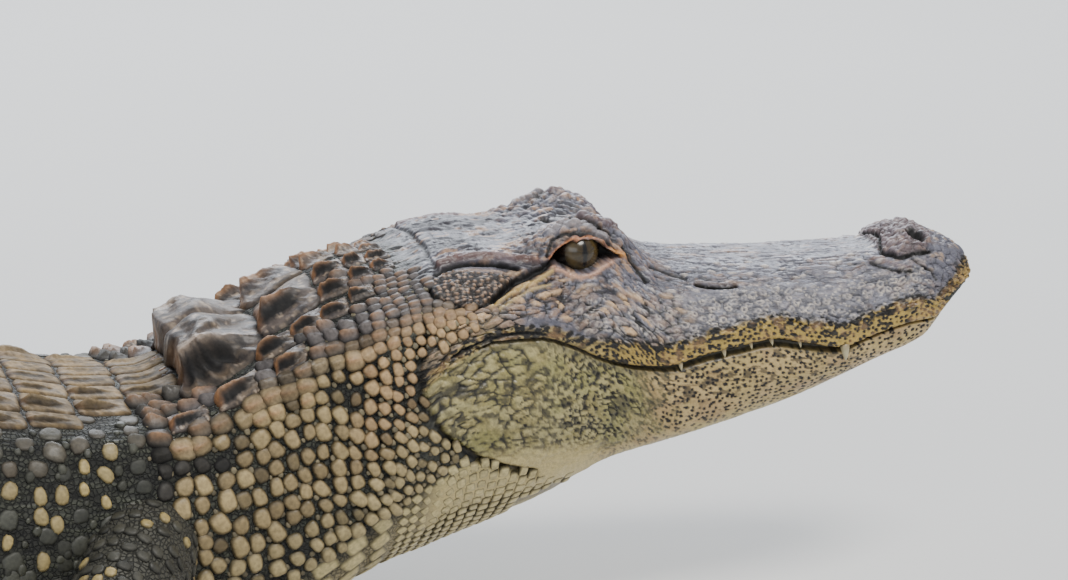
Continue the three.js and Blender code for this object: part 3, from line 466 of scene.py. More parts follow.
# bone-hard top of the head: mottled grey with pale worn flecks and lengthwise wrinkles
up_w = 1 - smooth(2.72, 2.98, v_h + 0.5 * wob)
warp1 = fractal(s_h / 16, a_h / 12, 3, 25) - 0.5
warp2 = fractal(s_h / 12, a_h / 9, 3, 27) - 0.5
snout_w = smooth(40, 70, s_h) * (1 - smooth(195, 225, s_h))
rel += up_w * (2.0 - 0.9 * snout_w) * (fractal(s_h / 15, a_h / 8, 4, 31) - 0.5)
skull_w = smooth(262, 285, s_h) * (1 - smooth(1.7, 2.1, v_h))
for n_lo, (lu, la, k_w, dep) in enumerate(((22.0, 4.6, snout_w, 0.62), (11.0, 5.0, (1 - snout_w) * (1 - 0.75 * skull_w), 0.8), (4.4, 2.7, 1.0 - 0.55 * skull_w - 0.55 * snout_w, 0.36), (24.0, 3.4, skull_w, 0.75))):
    f1, f2, rn = cells(s_h / lu + 1.6 * warp1, a_h / la + 1.5 * warp2, 0.95, 23 + 5 * n_lo)
    cr = (1 - smooth(0.02, 0.15, f2 - f1)) * smooth(0.12, 0.4, rn)
    rel += up_w * k_w * dep * ((1 - smooth(0.1, 0.7, f1)) * (0.4 + rn) - cr)
    col = paint(col, GREY_DARK, up_w * k_w * cr * 0.8)
    col = paint(col, GREY_PALE, up_w * k_w * smooth(0.6, 0.95, rn) * (1 - smooth(0.1, 0.5, f1)) * 0.5)
    col = paint(col, FLECK, up_w * k_w * smooth(0.78, 0.9, hash2(np.floor(rn * 999), np.floor(rn * 77), 3)) * (1 - smooth(0.05, 0.42, f1)) * 0.75)
streak = fractal(s_h / 22 + 0.9 * warp1, a_h / 3.0 + warp2, 4, 21)
crack = (1 - smooth(0.0, 0.035, np.abs(streak - 0.5))) * smooth(0.45, 0.6, fractal(s_h / 30, a_h / 14, 2, 41)) * smooth(48, 80, s_h)
rel -= 1.1 * crack * up_w
col = paint(col, BLACK, up_w * crack * 0.8)
# dark stains, and tan flecks where the surface is worn
stain = smooth(0.50, 0.62, fractal(s_h / 20 + warp1, a_h / 11 + warp2, 4, 231) + 0.06 * skull_w)
col = paint(col, rgb(74, 70, 80), up_w * skull_w * 0.6)
col = paint(col, rgb(34, 31, 38), up_w * stain * (0.80 - 0.55 * snout_w))
worn = smooth(0.60, 0.66, fractal(s_h / 7.5 + 0.6 * warp2, a_h / 3.4, 3, 241)) * (1 - stain)
col = paint(col, FLECK, up_w * worn * (0.75 - 0.60 * snout_w))
# knobbly scales along the brow and over the ear
brow_w = between(v_h, 0.55, 1.75, 0.25) * between(s_h, 222, 292, 8)
f1, f2, rn = cells(s_h / 6.5 + warp1, a_h / 5.5 + warp2, 0.9, 55)
rel += brow_w * (1.3 * (1 - smooth(0.1, 0.6, f1)) - 0.9 * (1 - smooth(0.03, 0.15, f2 - f1)))
col = paint(col, FLECK, brow_w * (1 - smooth(0.1, 0.4, f1)) * (0.2 + 0.5 * rn))
col = paint(col, BLACK, brow_w * (1 - smooth(0.03, 0.13, f2 - f1)) * 0.7)

# the raised, creased pad round the nostrils
nose = (1 - smooth(0.82, 1.06, np.hypot((PX - 902) / 31, (PY - 238) / 20.5) + 0.25 * wob)) * (v_h < 2.6)
f1, f2, rn = cells(s_h / 5.0 + 1.2 * warp1, a_h / 4.2 + 1.2 * warp2, 0.95, 57)
rel += nose * (1.0 + 1.2 * (1 - smooth(0.1, 0.6, f1)) - 1.0 * (1 - smooth(0.02, 0.14, f2 - f1)))
col = paint(col, rgb(112, 94, 94), nose * 0.62)
col = paint(col, rgb(150, 128, 122), nose * smooth(0.5, 0.9, rn) * (1 - smooth(0.1, 0.5, f1)) * 0.5)
col = paint(col, BLACK, nose * (1 - smooth(0.02, 0.12, f2 - f1)) * 0.7)

# pale lens-shaped flakes above the rosettes
f1, f2, rn = cells(s_h / 9.0 + warp1, a_h / 4.4 + warp2, 1.0, 261)
flake = up_w * between(m_h, -70, -30, 6) * between(s_h, 34, 250, 12) * smooth(0.62, 0.72, rn) * (1 - smooth(0.16, 0.34, f1)) * (1 - nose)
rel += 0.7 * flake
col = paint(col, rgb(196, 184, 174), flake * 0.75)
side_w = between(m_h, -42, -13, 5) * between(s_h, 28, 262, 14)
col = paint(col, rgb(142, 141, 150), side_w * 0.5)
# ring-shaped rosettes on the side of the snout
f1, f2, rn = cells(s_h / 5.6 + 1.1 * wob, a_h / 5.0 + 0.9 * wob, 0.8, 61)
ros = between(m_h, -37, -11, 4) * between(s_h, 28, 268, 14) * smooth(0.02, 0.22, rn)
ros *= smooth(0.30, 0.46, fractal(s_h / 17, a_h / 11, 2, 63) + 0.25 * between(m_h, -26, -11, 4))
ring = np.exp(-((f1 - 0.20 - 0.13 * rn - 0.10 * wob2) / 0.09) ** 2) * (0.55 + 0.45 * smooth(0.42, 0.56, fractal(s_h / 2.6, a_h / 2.6, 2, 65)))
rel += ros * (0.85 * ring - 0.75 * np.exp(-((f1 - 0.48) / 0.07) ** 2) - 0.2 * np.exp(-(f1 / 0.12) ** 2))
col = paint(col, rgb(216, 202, 184), ros * ring * (0.30 + 0.55 * rn))
g1, g2, gn = cells(s_h / 2.8, a_h / 2.5, 0.95, 271)
col = paint(col, rgb(222, 210, 192), side_w * (1 - smooth(0.14, 0.32, g1)) * smooth(0.45, 0.8, gn) * 0.6)
col = paint(col, rgb(40, 38, 46), side_w * (1 - smooth(0.02, 0.14, g2 - g1)) * 0.35)
col = paint(col, BLACK, ros * (np.exp(-(f1 / 0.13) ** 2) * 0.65 + 0.5 * smooth(0.42, 0.5, f1)))

# under and behind the eye: pebbly scales with orange-tan centres
ear0 = inside(PX, PY, EARFLAP).astype(float) * (v_h < 4)
f1, f2, rn = cells(s_h / 9.0 + wob * 1.3, a_h / 5.6 + wob * 1.0, 1.0, 71)
peb = between(s_h, 195, 350, 12) * smooth(-51, -41, m_h) * (1 - smooth(-5, 5, m_h + 13 - 11 * smooth(292, 318, s_h)))
col = paint(col, rgb(112, 98, 84), peb * smooth(285, 318, s_h) * 0.7)
back_of_mouth = smooth(306, 322, s_h) * between(v_h, 2.6, 4.3, 0.25) * (1 - ear0)
col = paint(col, rgb(126, 108, 80), back_of_mouth * 0.9)
peb = np.maximum(peb, back_of_mouth)
dome = 1 - smooth(0.2, 0.55, f1)
rel += peb * (1.0 * dome - 1.0 * (1 - smooth(0.03, 0.18, f2 - f1)))
col = paint(col, FLECK, peb * dome * (0.1 + 0.7 * rn))
col = paint(col, rgb(206, 172, 128), peb * dome * smooth(0.55, 0.8, rn) * 0.7)
col = paint(col, BLACK, peb * (1 - smooth(0.04, 0.17, f2 - f1)) * 0.95)
# beaded ear flap
ear = inside(PX, PY, EARFLAP).astype(float) * (v_h < 4)
f1, f2, rn = cells(s_h / 4.2, a_h / 3.0, 0.6, 81)
rel += ear * (1.1 * (1 - smooth(0.15, 0.5, f1)) + 0.7)
col = paint(col, GREY_DARK, ear * 0.85)
col = paint(col, FLECK, ear * (1 - smooth(0.1, 0.36, f1)) * 0.8)
col = paint(col, rgb(206, 178, 150), ear * (1 - smooth(0.05, 0.2, f1)) * smooth(0.4, 0.8, rn) * 0.7)
col = paint(col, BLACK, ear * (1 - smooth(0.03, 0.16, f2 - f1)) * 0.95)

# small grey and tan scales round the snout's tip
tip = (1 - smooth(26, 44, s_h + 8 * wob)) * (m_h < -2) * (1 - nose)
f1, f2, rn = cells((s_h + 6) / 5.0 + 0.8 * warp1, a_h / 5.6 + 0.8 * warp2, 0.95, 251)
col = paint(col, GREY, tip * 0.85)
rel += tip * (0.7 * (1 - smooth(0.1, 0.6, f1)) - 0.9 * (1 - smooth(0.02, 0.13, f2 - f1)))
col = paint(col, rgb(176, 148, 120), tip * smooth(0.35, 0.8, rn) * (1 - smooth(0.1, 0.45, f1)) * 0.7)
col = paint(col, BLACK, tip * (1 - smooth(0.02, 0.12, f2 - f1)) * 0.7)
# the pale band along the upper lip, with black dots and a ragged dark upper edge
lip_rear = smooth(228, 272, s_h)
lip_top = -12.5 - 3.0 * smooth(300, 120, s_h) + 3.0 * smooth(60, 20, s_h) - 3.0 * smooth(16, 4, s_h) + 6.0 * lip_rear
lip = smooth(lip_top - 2.2, lip_top + 1.4, m_h + 5.0 * wob + 3.0 * wob2) * (1 - smooth(0.2, 0.9, m_h)) * on_head
col = paint(col, LIP, lip)
col = paint(col, rgb(150, 122, 84), lip * smooth(40, 8, s_h) * 0.5)
col = paint(col, rgb(150, 134, 90), lip * lip_rear * 0.75)
col = paint(col, rgb(28, 24, 20), lip * lip_rear * smooth(0.5, 0.6, fractal(s_h / 7, a_h / 3, 3, 113)) * 0.85)
edge = np.exp(-((m_h - lip_top - 0.6 + 5.0 * wob) / 3.4) ** 2) * on_head
f1, f2, rn = cells(s_h / 4.8 + wob2, a_h / 3.4 + wob2, 0.95, 91)
blob = 1 - smooth(0.28 + 0.22 * rn, 0.40 + 0.24 * rn, f1)
col = paint(col, BLACK, np.clip(edge * 1.9, 0, 1) * blob)
col = paint(col, BLACK, lip * blob * smooth(0.80, 0.86, rn - 0.45 * smooth(50, 14, s_h)) * 0.95)
f1, f2, rn = cells(s_h / 3.25, a_h / 3.0, 0.7, 101)
dots = (1 - smooth(0.23 + 0.15 * rn, 0.32 + 0.15 * rn, f1)) * smooth(0.05, 0.14, rn)
col = paint(col, rgb(22, 16, 12), lip * dots)
rel += lip * (0.35 * smooth(0.2, 0.4, f1) - 0.2 * dots)
col = paint(col, rgb(168, 130, 84), lip * smooth(0.55, 0.7, fractal(s_h / 8, a_h / 5, 3, 111)) * 0.35)

# lower jaw: tan with fine dots that thin out downwards
jaw = smooth(-0.2, 0.6, m_h) * on_head
col = paint(col, JAW, jaw)
col = paint(col, rgb(192, 164, 114), jaw * smooth(0.42, 0.6, fractal(s_h / 10, a_h / 8, 3, 125)) * 0.55)
col = paint(col, THROAT, jaw * smooth(5.4, 6.3, v_h) * 0.8)
col = paint(col, rgb(150, 118, 78), jaw * smooth(0.5, 0.72, fractal(s_h / 16, a_h / 10, 3, 121)) * 0.5)
f1, f2, rn = cells(s_h / 3.5, a_h / 3.3, 0.8, 131)
small = 0.20 + 0.15 * rn
dots = (1 - smooth(small, small + 0.09, f1)) * (1 - 0.75 * smooth(5.6, 6.4, v_h)) * smooth(0.04, 0.12, rn)
col = paint(col, rgb(18, 12, 8), jaw * dots)
rel -= jaw * 0.25 * dots
blot = smooth(0.56, 0.62, fractal(s_h / 5.5, a_h / 2.6, 3, 141)) * between(m_h, 2, 30, 6)
col = paint(col, BLACK, jaw * blot * 0.75 * smooth(40, 90, s_h))
rel += jaw * 0.5 * (fractal(s_h / 12, a_h / 6, 3, 151) - 0.5)
# fine lengthwise creases of the lower jaw
jc = np.abs(fractal(s_h / 26, a_h / 5.5, 3, 161) - 0.5)
rel -= jaw * 0.45 * (1 - smooth(0, 0.03, jc)) * smooth(60, 120, s_h)
col = paint(col, rgb(70, 56, 38), jaw * (1 - smooth(0, 0.022, jc)) * 0.35 * smooth(60, 120, s_h))

# cheek: long polygonal scales with black cracks behind, finer broken ones with pores in front
chk = smooth(200, 236, s_h + 26 * wob) * on_head * smooth(0.5, 3, m_h) * (1 - smooth(5.55, 5.95, v_h))
rear_w = smooth(266, 306, s_h + 30 * wob)
col = paint(col, CHEEK, chk * 0.9)
col = paint(col, rgb(182, 172, 124), chk * smooth(0.40, 0.62, fractal(s_h / 8, a_h / 6, 3, 195)) * 0.42)
col = paint(col, OLIVE, chk * smooth(0.45, 0.75, fractal(s_h / 20, a_h / 16, 2, 191)) * 0.45)
for n_lo, (lu, la, wgt, grow) in enumerate(((12.0, 5.2, rear_w, 0.0), (5.6, 3.9, 1 - rear_w, -0.01))):
    cu, cv = (s_h * 0.96 + a_h * 0.28) / lu + wob * 0.8, (a_h * 0.96 - s_h * 0.22) / la + wob * 0.8
    f1, f2, rn = cells(cu, cv, 0.85, 171 + 9 * n_lo)
    some = smooth(0.40, 0.52, fractal(s_h / 9, a_h / 6, 2, 181)) if n_lo else smooth(0.30, 0.42, fractal(s_h / 14, a_h / 8, 2, 185))
    crackw = (1 - smooth(0.05 + grow, 0.15 + grow + 0.18 * rn, f2 - f1)) * some
    col = paint(col, rgb(186, 170, 116), chk * wgt * smooth(0.35, 0.95, rn) * (1 - smooth(0.1, 0.6, f1)) * 0.45)
    rel += chk * wgt * (0.4 * (1 - smooth(0.15, 0.6, f1)) - 0.9 * crackw)
    col = paint(col, BLACK, chk * wgt * crackw * 0.95)
g1, g2, gn = cells(s_h / 4.0, a_h / 3.6, 0.85, 201)
col = paint(col, rgb(20, 15, 11), chk * (1 - smooth(0.21 + 0.10 * gn, 0.30 + 0.12 * gn, g1)) * 0.95 * (1 - 0.72 * rear_w) * smooth(0.05, 0.2, gn))
rel -= chk * 0.3 * (1 - smooth(0.2, 0.3, g1)) * (1 - 0.8 * rear_w)
marks = smooth(0.60, 0.66, fractal(s_h / 6.5, a_h / 3.6, 3, 211)) * smooth(3, 9, m_h)
col = paint(col, BLACK, chk * marks * 0.7)
# bare hide behind the jaw is dark
col = paint(col, SKIN_DARK, (1 - on_head) * (v_h > 2.4))
g1, g2, gn = cells(s_h / 3.6, a_h / 3.4, 0.85, 221)
col = paint(col, rgb(40, 34, 26), (1 - smooth(0.10, 0.20, g1)) * smooth(0.3, 0.6, gn) * (v_h > 5.4) * on_head * 0.6)
# smooth pale fold along the back of the lower jaw, with a sunken line under it painted black as shade
fold = between(v_h, 5.55, 6.25, 0.16) * smooth(235, 262, s_h) * on_head
col = paint(col, rgb(196, 178, 122), fold * 0.8)
rel += fold * 0.9
rel -= 1.2 * np.exp(-((v_h - 6.35) / 0.1) ** 2) * smooth(245, 275, s_h) * on_head
col = paint(col, BLACK, np.exp(-((v_h - 6.4) / 0.13) ** 2) * smooth(245, 275, s_h) * 0.7 * on_head)

# strokes
for name, pts, half, height, colour, strength in STROKES:
    line = rounded(pts, 5) if len(pts) > 2 else pts
    xs, ys = [p[0] for p in line], [p[1] for p in line]
    near = (PX > min(xs) - 4 * half) & (PX < max(xs) + 4 * half) & (PY > min(ys) - 4 * half) & (PY < max(ys) + 4 * half)
    near &= (Nh[:, 1] * np.sign(side_h) > -0.25) & (v_h < 6.6)
    k = np.nonzero(near)[0]
    if len(k) == 0:
        continue
    d = dist_line(PX[k], PY[k], line)
    d = d * (1 + 0.35 * wob2[k])
    w = np.exp(-(d / half) ** 2)
    rel[k] += height * w
    wc = np.clip(w * 1.35 * strength, 0, 1) * min(strength, 1)
    col[k] = col[k] * (1 - wc[:, None]) + colour * wc[:, None]

# nostril: a sunken hole painted near-black as shade inside it
k = np.nonzero((PX > 890) & (PX < 940) & (PY > 220) & (PY < 255) & (v_h < 2))[0]
d = dist_line(PX[k], PY[k], NOSTRIL + NOSTRIL[:1]) * np.where(inside(PX[k], PY[k], NOSTRIL), -1, 1)
rel[k] -= 6.5 * smooth(0.6, -2.2, d)
wc = smooth(1.0, -0.5, d)
col[k] = col[k] * (1 - wc[:, None]) + rgb(14, 11, 10) * wc[:, None]

# the closed mouth: a narrow cleft, a little open amidships, painted near-black as shade inside it
gap = (0.8 + 1.5 * between(s_h, 95, 215, 35)) * on_head * (1 - smooth(318, 344, s_h)) * smooth(12, 22, s_h) + 1e-3
cleft = np.exp(-(np.abs(m_h - gap * 0.6) / gap) ** 3)
rel -= 5.0 * cleft * on_head * (1 - smooth(322, 342, s_h)) * smooth(14, 24, s_h)
rel += 0.8 * np.exp(-((m_h + gap + 1.6) / 1.5) ** 2) * on_head * smooth(10, 40, s_h) * (1 - smooth(300, 330, s_h))
col = paint(col, MOUTH_SHADE, np.exp(-(np.abs(m_h - gap * 0.6) / (gap * 1.15)) ** 3) * on_head * (1 - smooth(322, 345, s_h)) * 0.97)
# painted shade on the wet margin below the cleft, under the upper lip
col = paint(col, rgb(70, 66, 48), between(m_h, 1, 5, 1.5) * between(s_h, 90, 330, 15) * 0.45)

# lids over the eyeball
rel -= 0.3
Ph2 = Ph + Nh * rel[:, None]
k = np.nonzero((PX > 530) & (PX < 642) & (PY > 222) & (PY < 292) & (Nh[:, 1] * side_h > 0.0) & (v_h < 3.4))[0]
d = dist_line(PX[k], PY[k], EYE_OPEN + EYE_OPEN[:1]) * np.where(inside(PX[k], PY[k], EYE_OPEN), -0.6, 0.6)
Q = Ph2[k].copy()
Q[:, 1] = np.abs(Q[:, 1])
rho2 = (Q[:, 0] - EYE[0]) ** 2 + (Q[:, 2] - EYE[2]) ** 2
bulge = np.where(rho2 < EYE_R ** 2, EYE[1] + np.sqrt(np.maximum(EYE_R ** 2 - rho2, 0)), EYE[1])
over = np.maximum(Q[:, 1], bulge + 2.0)
lid_y = mix(Q[:, 1], over, 1 - smooth(4.0, 9.0, d))
pit_y = np.minimum(Q[:, 1], bulge - 2.2)
Q[:, 1] = mix(pit_y, lid_y, smooth(-1.0, 0.5, d))
Ph2[k] = Q * np.array([1, 0, 1]) + np.stack([Q[:, 0] * 0, Q[:, 1] * side_h[k], Q[:, 2] * 0], 1)
# the hide sunk inside the lid opening, behind the eyeball, is painted near-black as shade
wc = smooth(0.3, -0.6, d)
col[k] = col[k] * (1 - wc[:, None]) + rgb(20, 15, 12) * wc[:, None]

P[hr] = Ph2.reshape(len(hr), NC, 3)
COL = np.tile(SKIN_DARK, (NR, NC, 1))
COL[hr] = col.reshape(len(hr), NC, 3)

# ------------------------------------------------------------------ skin of the neck, trunk and tail
br = np.nonzero(RINGS >= 330)[0]
head_keep = np.zeros((NR, NC))
head_keep[hr] = (on_head * (v_h > 3.0)).reshape(len(hr), NC)
Pb, Nb = P[br].reshape(-1, 3), N[br].reshape(-1, 3)
sb, vb, ab, sdb = S2[br].ravel(), V2[br].ravel(), ARC2[br].ravel(), SIDE2[br].ravel()
w = smooth(342, 368, sb) * (1 - head_keep[br].ravel())
f1, f2, rn = cells(sb / 3.6, ab / 3.4, 0.9, 301)
grain = 1 - smooth(0.15, 0.5, f1)
bodycol = np.tile(SKIN_DARK, (len(sb), 1))
bodycol = paint(bodycol, rgb(74, 76, 58), grain * 0.5)
bodycol = paint(bodycol, BLACK, smooth(0.5, 0.7, fractal(sb / 40, ab / 24, 3, 311)) * 0.6)
# darker hide along the back under the shields: partly its own dark colour, partly painted shade in the gaps between the
# shields
bodycol = paint(bodycol, rgb(42, 37, 30), between(vb, -1, 1.6, 0.4) * smooth(520, 560, sb) * 0.7)
bodycol = paint(bodycol, rgb(168, 154, 114), smooth(5.3, 6.0, vb) * 0.8)
P[br] = (Pb + Nb * (w * (-2.0 + 0.35 * grain + 1.0 * (fractal(sb / 30, ab / 20, 3, 321) - 0.5)))[:, None]).reshape(len(br), NC, 3)
COL[br] = (COL[br].reshape(-1, 3) * (1 - w[:, None]) + bodycol * w[:, None]).reshape(len(br), NC, 3)
P[..., 2] = np.maximum(P[..., 2], 0.05)


# ------------------------------------------------------------------ meshes
def to_world(p):
    q = np.asarray(p, float) / 1000
    return q + np.array([TIP_X, TIP_Y, 0])


def make_mesh(name, verts, tris, colour=None, uv=None, flat=False):
    """a mesh object from points in mm from the snout tip"""
    me = bpy.data.meshes.new(name)
    v = to_world(verts).astype(np.float32)
    t = np.asarray(tris, np.int32)
    me.vertices.add(len(v))
    me.vertices.foreach_set("co", v.ravel())
    me.loops.add(t.size)
    me.loops.foreach_set("vertex_index", t.ravel())
    me.polygons.add(len(t))
    me.polygons.foreach_set("loop_start", np.arange(0, t.size, 3, dtype=np.int32))
    me.polygons.foreach_set("use_smooth", np.full(len(t), not flat))
    me.update(calc_edges=True)
    if colour is not None:
        a = me.color_attributes.new("Col", "FLOAT_COLOR", "POINT")
        a.data.foreach_set("color", np.concatenate([np.clip(colour, 0, 1), np.ones((len(v), 1))], 1).astype(np.float32).ravel())
    if uv is not None:
        layer = me.uv_layers.new(name="OFBake")
        layer.data.foreach_set("uv", np.asarray(uv, np.float32)[t.ravel()].ravel())
    o = bpy.data.objects.new(name, me)
    bpy.context.scene.collection.objects.link(o)
    return o


def grid_tris(nr, nc, off=0):
    r, c = np.meshgrid(np.arange(nr - 1), np.arange(nc), indexing="ij")
    a = off + r * nc + c
    b = off + r * nc + (c + 1) % nc
    d, e = a + nc, b + nc
    return np.concatenate([np.stack([a, b, e], -1).reshape(-1, 3), np.stack([a, e, d], -1).reshape(-1, 3)])


def outward(verts, tris):
    a, b, c = verts[tris[:, 0]], verts[tris[:, 1]], verts[tris[:, 2]]
    return tris if np.einsum("ij,ij->i", a, np.cross(b, c)).sum() > 0 else tris[:, ::-1]


def tube(rings):
    """closed surface from rings (nr, nc, 3)"""
    nr, nc = rings.shape[:2]
    v = np.concatenate([rings.reshape(-1, 3), rings[:1].mean(1), rings[-1:].mean(1)])
    t = grid_tris(nr, nc)
    c = np.arange(nc)
    t = np.concatenate([t, np.stack([(c + 1) % nc, c, np.full(nc, nr * nc)], -1), np.stack([(nr - 1) * nc + c, (nr - 1) * nc + (c + 1) % nc, np.full(nc, nr * nc + 1)], -1)])
    return v, outward(v, t)


# rounded snout end: a few small rings in front of the first one
front = P[0]
fc = front.mean(0)
caps = [fc + (front - fc) * k + np.array([dx, 0, 0]) for k, dx in ((0.25, 2.3), (0.6, 1.7), (0.88, 0.8))]
skin_rings = np.concatenate([np.array(caps), P])
skin_cols = np.concatenate([np.repeat(COL[:1], 3, 0), COL])
sv, st = tube(skin_rings)
sc = np.concatenate([skin_cols.reshape(-1, 3), skin_cols[0, :1], skin_cols[-1, :1]])

# ------------------------------------------------------------------ legs


def spline(points, t, centripetal=True):
    p = np.array(points, float)
    n = len(p)
    q = np.concatenate([2 * p[:1] - p[1:2], p, 2 * p[-1:] - p[-2:-1]])
    x = np.clip(np.asarray(t, float), 0, 1) * (n - 1)
    i = np.minimum(x.astype(int), n - 2)
    w = (x - i)[:, None]
    p0, p1, p2, p3 = q[i], q[i + 1], q[i + 2], q[i + 3]
    if centripetal:
        d0 = np.maximum(np.linalg.norm(p1 - p0, axis=1), 1e-4)[:, None] ** 0.5
        d1 = np.maximum(np.linalg.norm(p2 - p1, axis=1), 1e-4)[:, None] ** 0.5
        d2 = np.maximum(np.linalg.norm(p3 - p2, axis=1), 1e-4)[:, None] ** 0.5
        t1 = ((p1 - p0) / d0 - (p2 - p0) / (d0 + d1) + (p2 - p1) / d1) * d1
        t2 = ((p2 - p1) / d1 - (p3 - p1) / (d1 + d2) + (p3 - p2) / d2) * d1
    else:
        t1, t2 = 0.5 * (p2 - p0), 0.5 * (p3 - p1)
    return p1 + t1 * w + (-3*p1 + 3*p2 - 2*t1 - t2) * w**2 + (2*p1 - 2*p2 + t1 + t2) * w**3


def limb_frame(joints, t):
    path = place(np.array([j[0] for j in joints], float), np.array([j[1] for j in joints], float), np.array([j[2] for j in joints], float))
    size = np.array([[j[3], j[4], 0] for j in joints], float)
    at = spline(path, t)
    d = spline(path, np.minimum(t + 0.004, 1)) - spline(path, np.maximum(t - 0.004, 0))
    d /= np.linalg.norm(d, axis=1, keepdims=True)
    sidev = np.cross(np.array([0, 0, 1.0]), d)
    sidev /= np.linalg.norm(sidev, axis=1, keepdims=True) + 1e-9
    up = np.cross(d, sidev)
    return at, d, sidev, up, spline(size, t, False)


def limb_point(joints, t, a, inset=0.0):
    at, d, sidev, up, r = limb_frame(joints, t)
    rr = np.maximum(r[:, :2] - inset, 0.6)
    out = sidev * (np.cos(a) * rr[:, 0])[:, None] + up * (np.sin(a) * rr[:, 1])[:, None]
    n = sidev * (np.cos(a) * rr[:, 1])[:, None] + up * (np.sin(a) * rr[:, 0])[:, None]
    n /= np.linalg.norm(n, axis=1, keepdims=True)
    return at + out, n, d


def limb_rings(joints, nt, na, inset):
    t = np.repeat(np.linspace(0, 1, nt), na)
    a = np.tile(np.arange(na) / na * 2 * np.pi, nt)
    p, n, d = limb_point(joints, t, a, inset)
    return p.reshape(nt, na, 3)


def ellipsoid(s, y, z, rx, ry, rz, turn, n=28):
    th, ph = np.linspace(0.02, np.pi - 0.02, n // 2), np.arange(n) / n * 2 * np.pi
    T, F = np.meshgrid(th, ph, indexing="ij")
    x, yy, zz = np.cos(T) * rx, np.sin(T) * np.cos(F) * ry, np.sin(T) * np.sin(F) * rz
    c = place(np.array([float(s)]), np.array([float(y)]), np.array([float(z)]))[0]
    ct, sn = math.cos(turn), math.sin(turn)
    return np.stack([c[0] + x * ct - yy * sn, c[1] + x * sn + yy * ct, c[2] + zz], -1)


FRONT_TOES = [(40, -0.45, 6.5, 2), (50, -0.12, 6.8, 3), (52, 0.22, 6.6, 3), (45, 0.58, 5.6, 2), (34, 1.0, 5.0, 1)]
HIND_TOES = [(62, -0.3, 8, 3), (80, -0.05, 8.4, 4), (82, 0.22, 8, 4), (72, 0.52, 6.6, 2)]
LEGS = {
    "foreleg_right": (-1, [(520, 60, 88, 40, 42), (535, 112, 76, 33, 36), (556, 148, 61, 27, 30), (572, 172, 48, 23, 25), (548, 190, 36, 20, 22), (506, 202, 15, 18, 12)], (496, 204, 11, 25, 19, 11, 0.25), FRONT_TOES, 0.25),
    "foreleg_left": (1, [(520, 60, 88, 40, 42), (528, 112, 76, 33, 36), (540, 150, 61, 27, 30), (548, 176, 48, 23, 25), (516, 192, 36, 20, 22), (472, 202, 15, 18, 12)], (462, 203, 11, 25, 19, 11, 0.2), FRONT_TOES, 0.2),
    "hindleg_right": (-1, [(1105, 45, 96, 62, 60), (1080, 110, 96, 52, 52), (1050, 165, 86, 40, 42), (1040, 204, 66, 32, 32), (1085, 226, 46, 27, 27), (1124, 238, 18, 22, 15)], (1098, 246, 12, 40, 25, 12, 0.2), HIND_TOES, 0.3),
    "hindleg_left": (1, [(1105, 45, 96, 62, 60), (1096, 112, 96, 52, 52), (1082, 165, 84, 40, 42), (1080, 204, 64, 32, 32), (1130, 222, 44, 27, 27), (1174, 232, 18, 22, 15)], (1150, 240, 12, 40, 25, 12, 0.25), HIND_TOES, 0.35),
}
leg_objects = []
leg_tubes = []  # (leg number, joints) for the scales
claw_tips = []


def union(base, others, name):
    group = bpy.data.collections.new(name)
    for o in others:
        group.objects.link(o)
    mod = base.modifiers.new("join", "BOOLEAN")
    mod.operation, mod.operand_type, mod.collection, mod.solver = "UNION", "COLLECTION", group, "MANIFOLD"
    deps = bpy.context.evaluated_depsgraph_get()
    me = bpy.data.meshes.new_from_object(base.evaluated_get(deps))
    base.modifiers.clear()
    old, base.data = base.data, me
    bpy.data.meshes.remove(old)
    for o in others:
        bpy.data.objects.remove(o)
    bpy.data.collections.remove(group)
    return base


def leg_colour(v):
    c = np.tile(rgb(62, 60, 50), (len(v), 1))
    return paint(c, rgb(150, 138, 100), smooth(26, 6, v[:, 2]) * 0.3)


